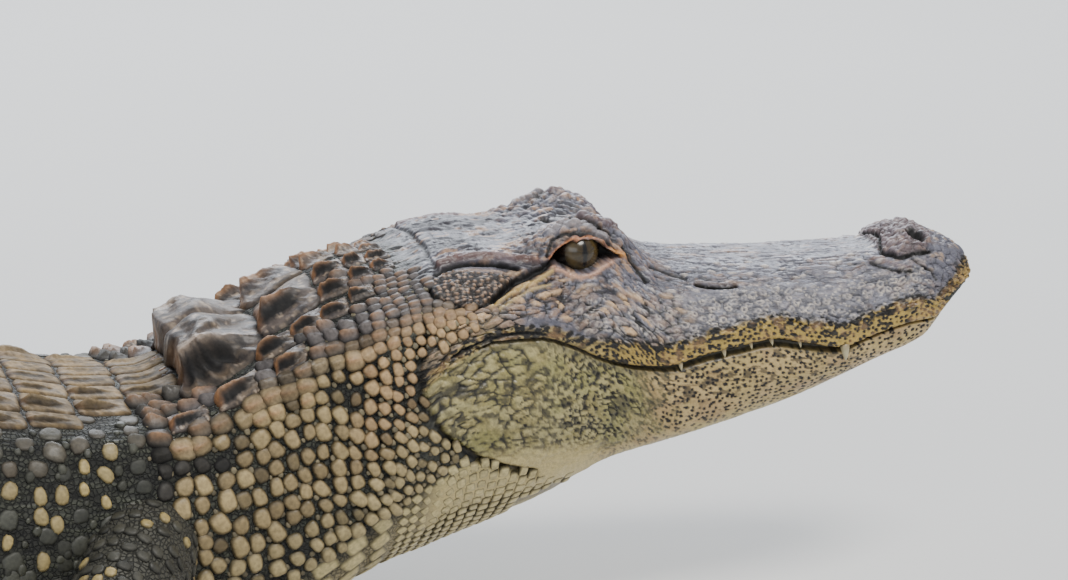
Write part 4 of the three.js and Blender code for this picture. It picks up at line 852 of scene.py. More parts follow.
for li, (name, (side, joints, palm, toes, turn)) in enumerate(LEGS.items()):
    J = [(s, side * y, z, w, h) for s, y, z, w, h in joints]
    parts = []

    def piece(rings):
        v, t = tube(rings)
        v = v.copy()
        v[:, 2] = np.maximum(v[:, 2], 0.05)
        parts.append(make_mesh(name, v, t, leg_colour(v)))

    piece(limb_rings(J, 46, 30, 1.6))
    leg_tubes.append((li, J, 26.0, 9.5, 0.26))
    s0, y0, z0, rx, ry, rz, pt = palm
    piece(ellipsoid(s0, side * y0, z0, rx - 1, ry - 1, rz - 0.6, side * pt))
    ends = []
    for k, (ln, ang, rad, lift) in enumerate(toes):
        a = (ang + turn) * side
        dx, dy = math.cos(a), math.sin(a)
        ps, py = s0 - dx * rx * 0.35, side * y0 + dy * rx * 0.35
        at = lambda d, z, w, h: (ps - dx * d, py + dy * d, z, w, h)
        TJ = [at(0, z0, rad * 1.25, rad), at(ln * 0.45, z0 + lift, rad * 1.1, rad), at(ln * 0.8, rad * 1.1, rad, rad * 0.95), at(ln, rad * 0.8, rad * 0.72, rad * 0.7)]
        piece(limb_rings(TJ, 22, 16, 0.5))
        leg_tubes.append((li, TJ, 8.0, 6.5, 0.3))
        if k < 3:
            claw_tips.append(("claw_%s_%s_%d" % ("front" if name.startswith("fore") else "hind", name.split("_")[1], k + 1),
                              [at(ln - 1.5, rad * 0.85, rad * 0.66, rad * 0.62), at(ln + rad * 1.0, rad * 1.05, rad * 0.5, rad * 0.5), at(ln + rad * 2.0, rad * 0.85, rad * 0.3, rad * 0.32), at(ln + rad * 2.9, rad * 0.35, rad * 0.06, rad * 0.08)]))
        ends.append((ps, py, dx, dy, ln, rad))
    # webs between the toes
    webn = len(ends) - 1 if name.startswith("hind") else 2
    for k in range(webn):
        e1, e2 = ends[k], ends[k + 1]
        reach = 0.72 if name.startswith("hind") else 0.3
        pts = []
        for q in np.linspace(0, 1, 9):
            f = reach * (1 - 0.45 * math.sin(math.pi * q))
            a1 = (e1[0] - e1[2] * e1[4] * f, e1[1] + e1[3] * e1[4] * f)
            a2 = (e2[0] - e2[2] * e2[4] * f, e2[1] + e2[3] * e2[4] * f)
            pts.append((a1[0] * (1 - q) + a2[0] * q, a1[1] * (1 - q) + a2[1] * q))
        pts += [(e2[0], e2[1]), (e1[0], e1[1])]
        pts = np.array(pts)
        lo = place(pts[:, 0], pts[:, 1], np.full(len(pts), 2.2))
        hi = lo + np.array([0, 0, 2.6])
        piece(np.stack([lo, hi]))
    leg_objects.append(union(parts[0], parts[1:], name + "_skin"))

skin = make_mesh("skin", sv, st, sc)
print("skin tris before", len(st), "legs", [len(o.data.polygons) for o in leg_objects])
skin = union(skin, leg_objects, "legs")
skin.name = skin.data.name = "skin"
# vertices made where a leg meets the trunk take the colour of their neighbours
me = skin.data
att = me.color_attributes["Col"]
cc = np.zeros(len(me.vertices) * 4)
att.data.foreach_get("color", cc)
cc = cc.reshape(-1, 4)
ed = np.zeros(len(me.edges) * 2, np.int64)
me.edges.foreach_get("vertices", ed)
ed = ed.reshape(-1, 2)
known = ~(cc[:, :3].min(1) > 0.9) & (cc[:, :3].max(1) > 1e-5)
for _ in range(6):
    if known.all():
        break
    acc, cnt = np.zeros((len(cc), 3)), np.zeros(len(cc))
    for a_, b_ in ((0, 1), (1, 0)):
        use = known[ed[:, a_]] & ~known[ed[:, b_]]
        np.add.at(acc, ed[use, b_], cc[ed[use, a_], :3])
        np.add.at(cnt, ed[use, b_], 1)
    got = cnt > 0
    cc[got, :3] = acc[got] / cnt[got, None]
    known |= got
cc[:, 3] = 1
att.data.foreach_set("color", cc.astype(np.float32).ravel())
print("unknown colours left", (~known).sum())
print("skin tris after", len(skin.data.polygons), "attrs", [a.name for a in skin.data.attributes])

# ------------------------------------------------------------------ eyes


def eyeball(name, side):
    n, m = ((64, 40))
    th, ph = np.linspace(0.01, np.pi - 0.01, m), np.arange(n) / n * 2 * np.pi
    T, F = np.meshgrid(th, ph, indexing="ij")
    gaze = np.array([0.16, side * 1.0, 0.10])
    gaze /= np.linalg.norm(gaze)
    upv = np.array([0, 0, 1.0]) - gaze * gaze[2]
    upv /= np.linalg.norm(upv)
    fw = np.cross(upv, gaze)
    R = EYE_R - 0.2 + 0.5 * smooth(0.75, 0.2, T)
    c = np.array([EYE[0], side * EYE[1], EYE[2]])
    pts = c + (np.cos(T) * R)[..., None] * gaze + (np.sin(T) * np.cos(F) * R)[..., None] * fw + (np.sin(T) * np.sin(F) * R)[..., None] * upv
    v, t = tube(pts)
    x, y = (np.sin(T) * np.cos(F)).ravel(), (np.sin(T) * np.sin(F)).ravel()
    r = np.hypot(x, y) * EYE_R
    front_face = (np.cos(T) > 0).ravel()
    colr = np.tile(rgb(20, 16, 13), (len(r), 1))
    ang = np.arctan2(y, x)
    fibre = fractal(ang * 9 + 40, r / 3.5, 3, 401)
    iris = np.array(mix(rgb(32, 25, 14)[None], rgb(72, 60, 34)[None], fibre[:, None]))
    iris = paint(iris, rgb(90, 74, 42), np.exp(-((r - 8.6) / 1.4) ** 2) * 0.4)
    iris = paint(iris, rgb(42, 24, 16), np.exp(-((np.abs(x * EYE_R)) / 2.6) ** 2) * (np.abs(y * EYE_R) < 8.5) * 0.5)
    wi = smooth(11.4, 10.2, r) * front_face
    colr = colr * (1 - wi[:, None]) + iris * wi[:, None]
    slit = 1.25 * np.sqrt(np.maximum(1 - (y * EYE_R / 8.4) ** 2, 0))
    wp = smooth(slit + 0.35, slit - 0.1, np.abs(x * EYE_R)) * (np.abs(y * EYE_R) < 8.4) * front_face
    colr = colr * (1 - wp[:, None]) + rgb(10, 8, 8) * wp[:, None]
    colr = np.concatenate([colr, rgb(10, 8, 8)[None], rgb(20, 16, 13)[None]])
    o = make_mesh(name, v, t, colr)
    return o


eyes = [eyeball("eyeball_right", -1), eyeball("eyeball_left", 1)]

# ------------------------------------------------------------------ teeth that show
tooth_v, tooth_t, tooth_c = [], [], []


def cone(base, tip, r, n=12, rings=5):
    base, tip = np.array(base, float), np.array(tip, float)
    ax = tip - base
    L = np.linalg.norm(ax)
    ax /= L
    s1 = np.cross(ax, [1, 0, 0])
    s1 /= np.linalg.norm(s1)
    s2 = np.cross(ax, s1)
    k = np.linspace(0, 1, rings)
    a = np.arange(n) / n * 2 * np.pi
    rr = r * (1 - k ** 1.6) ** 0.75
    rr[-1] = 0.08 * r
    return np.array([[base + ax * L * k[i] + (s1 * math.cos(b) + s2 * math.sin(b)) * rr[i] for b in a] for i in range(rings)])


for side in (-1, 1):
    for s, ln, r in [(92, 7.5, 3.0), (140, 2.4, 1.5), (153, 2.0, 1.3), (170, 3.0, 1.6), (198, 3.2, 1.6), (122, 2.2, 1.2)]:
        yy, zz = WID[4](np.array([s * 1.0]))[0], HEI[4](np.array([s * 1.0]))[0]
        g = cone((-s, side * (yy - 1.6 + r * 0.25), zz + 2.5), (-s + 0.8, side * (yy - 0.4 + r * 0.1), zz - ln), r)
        v, t = tube(g)
        off = sum(len(q) for q in tooth_v)
        tooth_v.append(v)
        tooth_t.append(t + off)
        tooth_c.append(paint(np.tile(rgb(176, 166, 132), (len(v), 1)), rgb(128, 108, 76), smooth(zz - 1.5, zz + 2, v[:, 2]) * 0.8))
teeth = make_mesh("teeth", np.concatenate(tooth_v), np.concatenate(tooth_t), np.concatenate(tooth_c))

# ------------------------------------------------------------------ claws
claws = []
for name, J in claw_tips:
    v, t = tube(limb_rings(J, 12, 12, 0.0))
    v[:, 2] = np.maximum(v[:, 2], 0.05)
    c = np.tile(rgb(44, 38, 32), (len(v), 1))
    claws.append((name, make_mesh(name + "_horn", v, t, c)))

# ------------------------------------------------------------------ the coat of scales
rng = np.random.default_rng(7)
scale_pieces = []


def unwrap(s, a, side):
    """place on an unwrap of the hide: length along the body, girth each side of the back"""
    return np.stack([0.01 + 0.98 * (np.asarray(s) + 4) / 2404, 0.5 + np.asarray(side) * 0.34 * np.asarray(a) / half_girth(s)], -1)


def body_frames(s, a, side):
    v = v_at(s, a)
    Q, n = surf_n(s, v, side)
    ts = surf(s + 2.0, v, side) - surf(s - 2.0, v, side)
    ts -= n * (ts * n).sum(1, keepdims=True)
    ts /= np.linalg.norm(ts, axis=1, keepdims=True)
    ta = np.cross(n, ts)
    down = surf(s, np.minimum(v + 0.05, 7), side) - surf(s, np.maximum(v - 0.05, 0), side)
    ta *= np.sign((ta * down).sum(1, keepdims=True))
    return Q - n * (2.0 * smooth(342, 368, s))[:, None], n, ts, ta


def domes(name, Q, n, ts, ta, lx, ly, H, keel, expo, tone, crest, uv, n_ang=11, edge=0.42, rim=(0.1, 0.9)):
    """one solid, domed scale at each root, joined into one piece"""
    N_ = len(Q)
    a = np.arange(n_ang) / n_ang * 2 * np.pi
    prof = [(1.0, None), (1.0, 0.10), (0.87, 0.60), (0.64, 0.92), (0.28, 1.0)]
    ph = rng.uniform(0, 2 * np.pi, (N_, 2, 1))
    wobble = 1 + 0.07 * np.sin(2 * a[None] + ph[:, 0]) + 0.05 * np.sin(3 * a[None] + ph[:, 1])
    ca, sa = np.cos(a)[None], np.sin(a)[None]
    e = (2.0 / expo)[:, None]
    ux = np.sign(ca) * np.abs(ca) ** e * wobble
    uy = np.sign(sa) * np.abs(sa) ** e * wobble
    rows, cols = [], []
    for r, h in prof:
        x, y = ux * r, uy * r
        if h is None:
            hh = np.full_like(x, -1.6)
            shade = np.full_like(x, 0.3)
            kw_ = np.zeros_like(x)
        else:
            ridge = np.exp(-np.abs(y / 0.32) ** 1.5) * (0.25 + 0.75 * smooth(-1.0, 0.55, x)) * (1 - 0.55 * smooth(0.6, 1.0, x))
            hh = H[:, None] * h + keel[:, None] * ridge * min(1, h * 1.4)
            # painted shade, and in part the scales' own darker rims: each scale darkens from its crown to its rim (edge
            # is the darkest share, rim where the darkening runs), and its sunken base ring and bottom point are darker
            # still
            shade = np.full_like(x, edge + (1 - edge) * smooth(rim[0], rim[1], np.array(h)))
            kw_ = ridge * smooth(0.3, 1.0, np.array(h)) * (keel[:, None] > 0.4)
        pos = Q[:, None] + ts[:, None] * (x * lx[:, None] / 2)[..., None] + ta[:, None] * (y * ly[:, None] / 2)[..., None] + n[:, None] * hh[..., None]
        rows.append(pos)
        c = tone[:, None] * shade[..., None]
        c = c * (1 - 0.75 * kw_[..., None]) + crest[:, None] * (0.75 * kw_)[..., None]
        cols.append(c)
    topc = Q + n * (H + keel * 0.72)[:, None]
    botc = Q - n * 1.6
    verts = np.concatenate([np.concatenate(rows, 1), topc[:, None], botc[:, None]], 1)
    tc = tone * (1 - 0.6 * (keel > 0.4))[:, None] + crest * (0.6 * (keel > 0.4))[:, None]
    colr = np.concatenate([np.concatenate(cols, 1), tc[:, None], (tone * 0.3)[:, None]], 1)
    M = verts.shape[1]
    nr = len(prof)
    t = grid_tris(nr, n_ang)
    k = np.arange(n_ang)
    t = np.concatenate([t, np.stack([(k + 1) % n_ang + (nr - 1) * n_ang, k + (nr - 1) * n_ang, np.full(n_ang, M - 2)], -1)[:, ::-1], np.stack([k, (k + 1) % n_ang, np.full(n_ang, M - 1)], -1)[:, ::-1]])
    # outward winding, tested on the first scale
    v0 = verts[0] - verts[0].mean(0)
    if np.einsum("ij,ij->i", v0[t[:, 0]], np.cross(v0[t[:, 1]], v0[t[:, 2]])).sum() < 0:
        t = t[:, ::-1]
    # each side of the body has its own handedness
    hand = np.einsum("ij,ij->i", np.cross(ts, ta), n) > 0
    T = np.where((hand == hand[0])[:, None, None], t[None], t[None, :, ::-1]) + (np.arange(N_) * M)[:, None, None]
    verts[..., 2] = np.maximum(verts[..., 2], 0.0)
    loc = np.concatenate([np.concatenate([np.stack([ux * r, uy * r], -1) for r, _ in prof], 1), np.zeros((N_, 2, 2))], 1)
    uvv = uv[:, None] + 0.0013 * loc
    o = make_mesh(name, verts.reshape(-1, 3), T.reshape(-1, 3), colr.reshape(-1, 3), uvv.reshape(-1, 2))
    scale_pieces.append(o)
    return o


# large keeled shields, following the back: s, signed arc, length, width, dome, keel, keel width, lean, kind
SHIELDS = []
NUCHAL = [(368, 9, 14, 13, 1.2, 3.5), (369, 24, 14, 14, 1.2, 3.5), (382, 11, 16, 16, 1.4, 5), (384, 29, 16, 17, 1.4, 5.5), (386, 48, 15, 15, 1.2, 4.5), (400, 13, 20, 20, 1.5, 7),
          (402, 35, 20, 19, 1.5, 7), (404, 56, 18, 17, 1.4, 5.5), (421, 55, 20, 18, 1.5, 6), (428, 23, 36, 45, 2.6, 11.5), (441, 60, 24, 22, 2, 8), (436, 80, 20, 18, 1.5, 6),
          (470, 31, 50, 61, 3.2, 19), (468, 80, 28, 24, 2, 8), (496, 84, 22, 18, 1.5, 5), (498, 12, 8, 20, 1.0, 1.0)]
for s, a, lx, ly, h, k in NUCHAL:
    for side in (-1, 1):
        SHIELDS.append((s + rng.uniform(-1, 1), side * a, lx, ly, h, k * rng.uniform(0.92, 1.08), 0.3, 0.32 if k > 12 else 0.2, 0))
ROW = 32.0
COLUMNS = [(14.2, 28.4, 1.6), (42.6, 28.4, 2.8), (70.8, 28.0, 4.6), (96, 22.4, 3.0)]
for i in range(20):
    s = 510 + i * ROW
    f = float(arc_at(np.array([s]), np.array([1.62]))[0]) / 108.0
    for j, (a, wd, k) in enumerate(COLUMNS):
        if (i == 0 and j > 1) or (i == 1 and j > 2):
            continue
        for side in (-1, 1):
            SHIELDS.append((s + rng.uniform(-1.0, 1.0), side * a * f, ROW * 0.99, wd * f * 0.99, 1.9, k * rng.uniform(0.6, 1.25), 0.12, 0.22, 1))
# tail crests: a double row of plates, then a single one
s = 1164.0
while s < 2378:
    pitch = 30 - 8 * float(smooth(1900, 2380, np.array(s)))
    if s < 1725:
        k = 6 + 15 * float(smooth(1150, 1500, np.array(s))) + 3 * float(smooth(1500, 1720, np.array(s)))
        a = float(arc_at(np.array([s]), np.array([1.0]))[0]) - 3
        for side in (-1, 1):
            SHIELDS.append((s, side * a, pitch * 0.98, 15.0, 1.5, k, 0.24, 0.1, 2))
        if a > 24:
            for side in (-1, 1):
                SHIELDS.append((s, side * a * 0.36, pitch * 0.95, a * 0.6, 1.3, 2.5, 0.3, 0.0, 2))
    else:
        k = 24 * (1 - 0.72 * float(smooth(1760, 2380, np.array(s))))
        SHIELDS.append((s, 0.0, pitch * 0.98, 12.0 - 7 * float(smooth(2000, 2380, np.array(s))), 1.0, k, 0.3, 0.0, 2))
    s += pitch
SH = np.array(SHIELDS)


def shields(name, SH, nx=15, ny=13):
    N_ = len(SH)
    gx, gy = np.meshgrid(np.linspace(-1, 1, nx), np.linspace(-1, 1, ny), indexing="ij")
    x, y = gx.ravel(), gy.ravel()
    y = np.sign(y) * np.abs(y) ** 1.25
    m = np.maximum(np.abs(x), np.abs(y))
    shrink = 1 - 0.09 * (np.abs(x) ** 3 * np.abs(y) ** 3)
    xs, ys = x * shrink, y * shrink
    S0, B0, LX, LY, H, K, KW, LEAN, KIND = [SH[:, i][:, None] for i in range(9)]
    s = S0 + xs[None] * LX / 2
    b = B0 + ys[None] * LY / 2
    edge_noise = fractal(s.ravel() / 13, b.ravel() / 11 + 40, 3, 521).reshape(N_, -1) - 0.5
    edge_noise2 = fractal(s.ravel() / 12 + 30, b.ravel() / 12 + 60, 3, 523).reshape(N_, -1) - 0.5
    s = s + np.where(KIND == 0, 0.26, 0.10) * np.minimum(LX, 32) * edge_noise
    b = b + np.where(np.abs(B0) * 2 > LY * 1.15, np.where(KIND == 0, 0.22, 0.08), 0.0) * np.minimum(LY, 32) * edge_noise2
    sd0 = np.where(B0 == 0, 1.0, np.sign(B0))
    sd = np.where(b == 0, 1.0, np.sign(b))
    ab_ = np.abs(b)
    v = v_at(s.ravel(), ab_.ravel())
    Q, n = surf_n(s.ravel(), v, sd.ravel())
    Q, n = Q.reshape(N_, -1, 3), n.reshape(N_, -1, 3)
    # outward direction across the body, for the lean of the keel
    yo = ys[None] * sd0
    big = smooth(10, 15, K)
    prof_x = np.where(KIND == 0, smooth(-1.0, 0.25, x)[None] ** 0.9 * (1 - 0.85 * smooth(0.62, 1.0, x)[None]), smooth(-1.0, 0.55, x)[None] ** 1.1 * (1 - 0.72 * smooth(0.55, 1.0, x)[None]))
    irr = np.random.default_rng(11).uniform(-1, 1, (N_, 3))
    prof_x = prof_x * (1 + 0.10 * np.sin(5 * x[None] + 6 * irr[:, :1]))
    off = yo - 0.06 * irr[:, 1:2] - 0.27 * big
    ridge = np.exp(-np.abs(off / KW) ** 1.35) * (1 - smooth(0.75, 1.0, np.abs(y))[None])
    # the two great pairs are flat-topped: each rises from the midline to a keel that overhangs its outer side
    shelf = np.where(off < 0, 1 - 0.10 * smooth(0.0, 1.1, -off), np.exp(-np.abs(off / 0.27) ** 2.2))
    ridge = ridge * (1 - big) + shelf * big * (1 - smooth(0.93, 1.0, yo))
    pit = fractal(s.ravel() / 5, ab_.ravel() / 4, 3, 501).reshape(N_, -1)
    dome_h = H * (1 - m[None] ** 9)
    kh = K * ridge * prof_x
    radial = np.sin(16 * np.arctan2(yo + 0.05, x[None] - 0.4) + 3 * irr[:, 2:3])
    hh = dome_h + kh + big * 5.0 * (fractal(s.ravel() / 15, ab_.ravel() / 9, 3, 515).reshape(N_, -1) - 0.5) * (1 - m[None] ** 6) + (0.8 + 1.4 * (KIND == 0)) * (pit - 0.5) * (1 - m[None] ** 4) + big * 1.7 * radial * (off > 0.04) * (1 - smooth(0.75, 0.95, yo)) + ((0.45 + 0.6 * (KIND == 0)) * (fractal(s.ravel() / 1.9, ab_.ravel() / 1.6, 3, 505).reshape(N_, -1) - 0.5) - 0.5 * np.exp(-(np.abs(fractal(s.ravel() / 9, ab_.ravel() / 6, 3, 507).reshape(N_, -1) - 0.5) / 0.02) ** 2)) * (1 - m[None] ** 4)
    lateral = place(np.zeros(1), np.ones(1), np.zeros(1))[0]
    lean = np.zeros((N_, len(x), 3))
    lean[..., 1] = (LEAN * kh * sd0) if True else 0
    pos = Q + n * (hh - 2.0)[..., None] + lean
    border = m > 0.999
    # painted shade: each shield darkens towards its rim, but not on the inner side of the great pairs
    m_out = np.maximum(np.abs(x)[None], np.where((yo < 0) & (big > 0.5), 0, np.abs(y)[None]))
    shade = 1 - 0.62 * smooth(0.82, 1.0, m_out)
    kind0, kind1, kind2 = KIND == 0, KIND == 1, KIND == 2
    base = np.where(kind0[..., None], rgb(80, 70, 64), np.where(kind1[..., None], rgb(112, 94, 66), rgb(78, 74, 62)))
    base = base * np.where(kind1, (1 - 0.34 * smooth(700, 1100, s)) * (1 - 0.42 * smooth(78, 104, np.abs(b))), 1.0)[..., None]
    base = base * (1 + 0.22 * irr[:, :1, None])
    c = base * np.ones((N_, len(x), 1))
    mud = smooth(0.42, 0.66, fractal(s.ravel() / 22, ab_.ravel() / 16, 3, 511).reshape(N_, -1))[..., None]
    mud = mud * np.where(kind0, 0.4, 1.0)[..., None]
    c = c * (1 - 0.5 * mud) + rgb(146, 120, 80) * 0.5 * mud
    speck = smooth(0.60, 0.68, fractal(s.ravel() / 2.6, ab_.ravel() / 2.2, 3, 531).reshape(N_, -1))[..., None] * np.where(kind0, 0.6, 0.3)[..., None]
    c = c * (1 - speck) + rgb(172, 152, 130) * speck
    dark_mott = smooth(0.50, 0.66, pit)[..., None] * np.where(kind0, 0.7, 0.5)[..., None]
    c = c * (1 - dark_mott) + GREY_DARK * dark_mott
    # the outer flank of each keel is dark, partly its own dark colour and partly painted shade under the overhang; the
    # crest is worn pale or orange, and its pale is partly painted highlight
    flank_w = (smooth(0.01, 0.10, off) * (1 - smooth(0.45, 0.62, off)) * smooth(-0.8, -0.2, x)[None] * np.where(kind0, 0.97, 0.75))[..., None]
    c = c * (1 - flank_w) + rgb(13, 12, 12) * (1 + 1.5 * np.clip(radial, 0, 1)[..., None] * big[..., None]) * flank_w
    crest_w = (np.exp(-((off + 0.02) / 0.12) ** 2) * smooth(-0.6, 0.2, x)[None])[..., None]
    crest_c = np.where((kind0 & (K < 15))[..., None], rgb(160, 116, 78), np.where(kind0[..., None], rgb(160, 140, 122), rgb(140, 124, 98)))
    crest_w = crest_w * np.where(kind1, 0.5, 1.0)[..., None]
    c = c * (1 - 0.7 * crest_w) + crest_c * 0.7 * crest_w
    rear = (smooth(0.62, 0.95, x)[None] * np.exp(-(yo / 0.5) ** 2) * np.where(kind0 & (K < 15), 0.8, np.where(kind0, 0.45, 0.15)))[..., None]
    c = c * (1 - rear) + rgb(184, 132, 90) * rear
    c = c * shade[..., None]
    bi = np.nonzero(border)[0]
    ang = np.arctan2(ys[bi], xs[bi])
    bi = bi[np.argsort(ang)]
    nb = len(bi)
    skirt = Q[:, bi] - n[:, bi] * 3.8
    botc = skirt.mean(1, keepdims=True) - n[:, :1] * 0.2
    verts = np.concatenate([pos, skirt, botc], 1)
    # the skirt below the rim and the bottom point are darkened further: painted shade under the shield
    colr = np.concatenate([c, c[:, bi] * 0.4, c[:, :1] * 0.3], 1)
    M = verts.shape[1]
    i, j = np.meshgrid(np.arange(nx - 1), np.arange(ny - 1), indexing="ij")
    a0 = (i * ny + j).ravel()
    t = np.concatenate([np.stack([a0, a0 + ny, a0 + ny + 1], -1), np.stack([a0, a0 + ny + 1, a0 + 1], -1)])
    k = np.arange(nb)
    kn = (k + 1) % nb
    o0 = nx * ny
    t = np.concatenate([t, np.stack([bi[kn], bi[k], o0 + k], -1), np.stack([bi[kn], o0 + k, o0 + kn], -1), np.stack([o0 + kn, o0 + k, np.full(nb, M - 1)], -1)])
    T = []
    vv = verts - verts.mean(1, keepdims=True)
    vol = np.einsum("nij,nij->n", vv[:, t[:, 0]], np.cross(vv[:, t[:, 1]], vv[:, t[:, 2]]))
    T = np.where((vol > 0)[:, None, None], t[None], t[None, :, ::-1]) + (np.arange(N_) * M)[:, None, None]
    verts[..., 2] = np.maximum(verts[..., 2], 0.0)
    uv0 = unwrap(SH[:, 0], np.abs(SH[:, 1]), np.sign(SH[:, 1]))
    loc = np.concatenate([np.stack([xs, ys], -1), np.stack([xs[bi], ys[bi]], -1), np.zeros((1, 2))])
    uvv = uv0[:, None] + 0.0015 * loc[None]
    o = make_mesh(name, verts.reshape(-1, 3), T.reshape(-1, 3), colr.reshape(-1, 3), uvv.reshape(-1, 2))
    scale_pieces.append(o)
    return o


shields("scutes_neck", SH[SH[:, 8] == 0], 37, 33)
shields("scutes_back", SH[SH[:, 8] == 1], 21, 17)
shields("crest_tail", SH[SH[:, 8] == 2], 11, 11)

# small scales of the neck, flanks, belly and tail: staggered rows whose lines wander
rows = []  # s, arc, side, pitch along, pitch round, v, two random numbers, row number
s, k = 264.0, 0
while s < 2385:
    fs = lambda a, b: float(smooth(a, b, np.array(s)))
    if s < NECK_END:
        ps = 6.6 + 2.6 * fs(368, 400) + 2.4 * fs(400, 470)
    elif s < TRUNK_END:
        ps = 16.0
    else:
        ps = 30 - 8 * fs(1900, 2380)
    g = float(half_girth(np.array(s)))
    for side in (-1, 1):
        a = 4.0 + (0.5 * (k % 2)) * 8.0 + rng.uniform(0, 2.0) * (s < TRUNK_END)
        while a < g - 1:
            v = float(v_at(np.array([s]), np.array([a]))[0])
            if s < NECK_END:
                if v < 2.0:
                    pa = 6.6 + 3.8 * fs(366, 400) + 2.2 * fs(410, 470)
                elif v < 5.35:
                    pa = 6.6 + 2.2 * fs(368, 400) + 1.6 * fs(400, 470) + 1.6 * float(smooth(2.0, 4.4, np.array(v)))
                else:
                    pa = 14.0 if s > 372 else 8.5
            elif s < TRUNK_END:
                pa = 13.5 if v < 5.0 else 22.0
            else:
                pa = 17.0 - 7 * fs(1500, 2300)
            rows.append((s, a, side, ps, pa, v, rng.uniform(), rng.uniform(), k))
            a += pa
    s += ps
    k += 1
R = np.array(rows)
s_, a_, sd_, ps_, pa_, v_, r1, r2, k_ = R.T
loose = np.where(s_ < NECK_END, 1.0, np.where(s_ < TRUNK_END, 1.0, 0.12)) * (1 - 0.85 * smooth(4.9, 5.6, v_))
jit = np.random.default_rng(21).normal(0, 1, (2, len(s_)))
s_ = s_ + loose * (ps_ * (0.10 * jit[0] * (1 - 0.45 * (s_ < NECK_END)) + 1.5 * (fractal(s_ / 46, a_ / 40 + 9 * sd_, 2, 601) - 0.5)))
a_ = a_ + loose * (pa_ * (0.11 * jit[1] * (1 - 0.45 * (s_ < NECK_END)) + 1.7 * (fractal(s_ / 40, a_ / 50 + 7 * sd_, 2, 611) - 0.5)))
keep = (a_ > 2) & (a_ < half_girth(s_) - 2) & (s_ < 2384) & ~((v_ > 5.4) & (k_ % 2 == 1) & (s_ < NECK_END) & (s_ > 372))
# room for the shields
for q in SHIELDS:
    hit = (np.abs(s_ - q[0]) < q[2] / 2 + ps_ * 0.08) & (np.abs(a_ * sd_ - q[1]) < q[3] / 2 + pa_ * 0.08)
    keep &= ~hit
# the head's own hide in front, and no scales inside the ear, jaw corner or the legs' roots
hp, _ = surf_n(s_, np.clip(v_at(s_, a_), 0, 7), sd_)
v_ = v_at(s_, a_)
hx, hy = side_view(hp)
head_part = ((s_ < 350) & (v_ < 1.9)) | ((s_ < 352) & inside(hx, hy, EARFLAP)) | ((s_ < 330) & (v_ < 3.4)) | ((v_ > 3.0) & (v_ < 6.3) & (ahead_of_jaw_rear(hx, hy) > 1)) | ((v_ >= 6.3) & (s_ < 296)) | ((v_ > 3.4) & (v_ <= 4.2) & (s_ < 344))
keep &= ~head_part
keep &= ~((s_ < 362) & (v_ < 0.8))
s_, a_, sd_, ps_, pa_, v_, r1, r2, k_ = [q[keep] for q in (s_, a_, sd_, ps_, pa_, v_, r1, r2, k_)]
neck_m, trunk_m, tail_m = s_ < NECK_END, (s_ >= NECK_END) & (s_ < TRUNK_END), s_ >= TRUNK_END
n_ = len(s_)
belly_m = v_ > np.where(neck_m, 5.45, 5.1)
nape_k = neck_m * (1 - smooth(2.0, 2.9, v_))
H_ = np.where(neck_m, mix(1.5, 2.5, smooth(1.0, 3.5, v_)), np.where(trunk_m, 1.3, 1.3)) * (0.75 + 0.5 * r1)
keel_ = nape_k * (1.4 + 3.6 * smooth(365, 410, s_)) * (0.7 + 0.6 * r2)
keel_ = np.where(tail_m & (v_ < 2.5), 2.2, keel_)
H_ = np.where(s_ < 380, H_ * 0.7, H_)
expo_ = np.where(neck_m, 2.35, 2.2) + 0.5 * r2
expo_ = np.where(belly_m | tail_m, 5.0, expo_)
H_ = np.where(belly_m, 1.0, H_)
keel_ = np.where(belly_m, 0.0, keel_)
spot = trunk_m & ~belly_m
clump = smooth(0.42, 0.62, fractal(s_ / 60, a_ / 42 + 5 * sd_, 3, 621))
pale = spot & (r2 < 0.08 + 0.62 * clump * smooth(1.9, 2.7, v_)) & (v_ > 1.7)
H_ = np.where(pale, 1.9, H_)
fill_x, fill_y = np.where(neck_m, 0.93, 0.90), np.where(neck_m, 0.97, 1.0)
fill_x, fill_y = np.where(belly_m | tail_m, 0.93, fill_x), np.where(belly_m | tail_m, 0.93, fill_y)
fill_x, fill_y = np.where(nape_k > 0.5, 1.3, fill_x), np.where(nape_k > 0.5, 1.12, fill_y)
size_r = np.where(spot, np.where(pale, 0.44 + 0.22 * r1, 0.62 + 0.36 * r1), np.where(neck_m & ~belly_m, 0.86 + 0.26 * r1, 0.90 + 0.18 * r1))
lx_ = ps_ * fill_x * size_r
lx_ = np.where(neck_m & (v_ > 5.45) & (s_ > 372), lx_ * 1.9, lx_)
ly_ = pa_ * fill_y * size_r * np.where(pale, 1.35, np.where(neck_m & ~belly_m, 0.98 + 0.18 * r2, 1.0))
tone = np.array(mix(rgb(104, 88, 60)[None], rgb(176, 154, 108)[None], (r2[:, None] * 0.6 + 0.4 * fractal(s_ / 40, a_ / 30, 2, 631)[:, None])))
tone = np.array(mix(tone, rgb(176, 140, 100)[None], (neck_m * smooth(410, 385, s_) * smooth(1.7, 2.2, v_) * (1 - smooth(3.8, 4.6, v_)))[:, None] * 0.6))
tone = np.array(mix(tone, rgb(176, 160, 116)[None], (neck_m * smooth(4.2, 5.2, v_))[:, None] * 0.55))
nape = (neck_m * (1 - smooth(1.8, 2.6, v_)))[:, None]
tone = tone * (1 - nape) + rgb(76, 70, 68) * nape * (0.7 + 0.6 * r2[:, None])
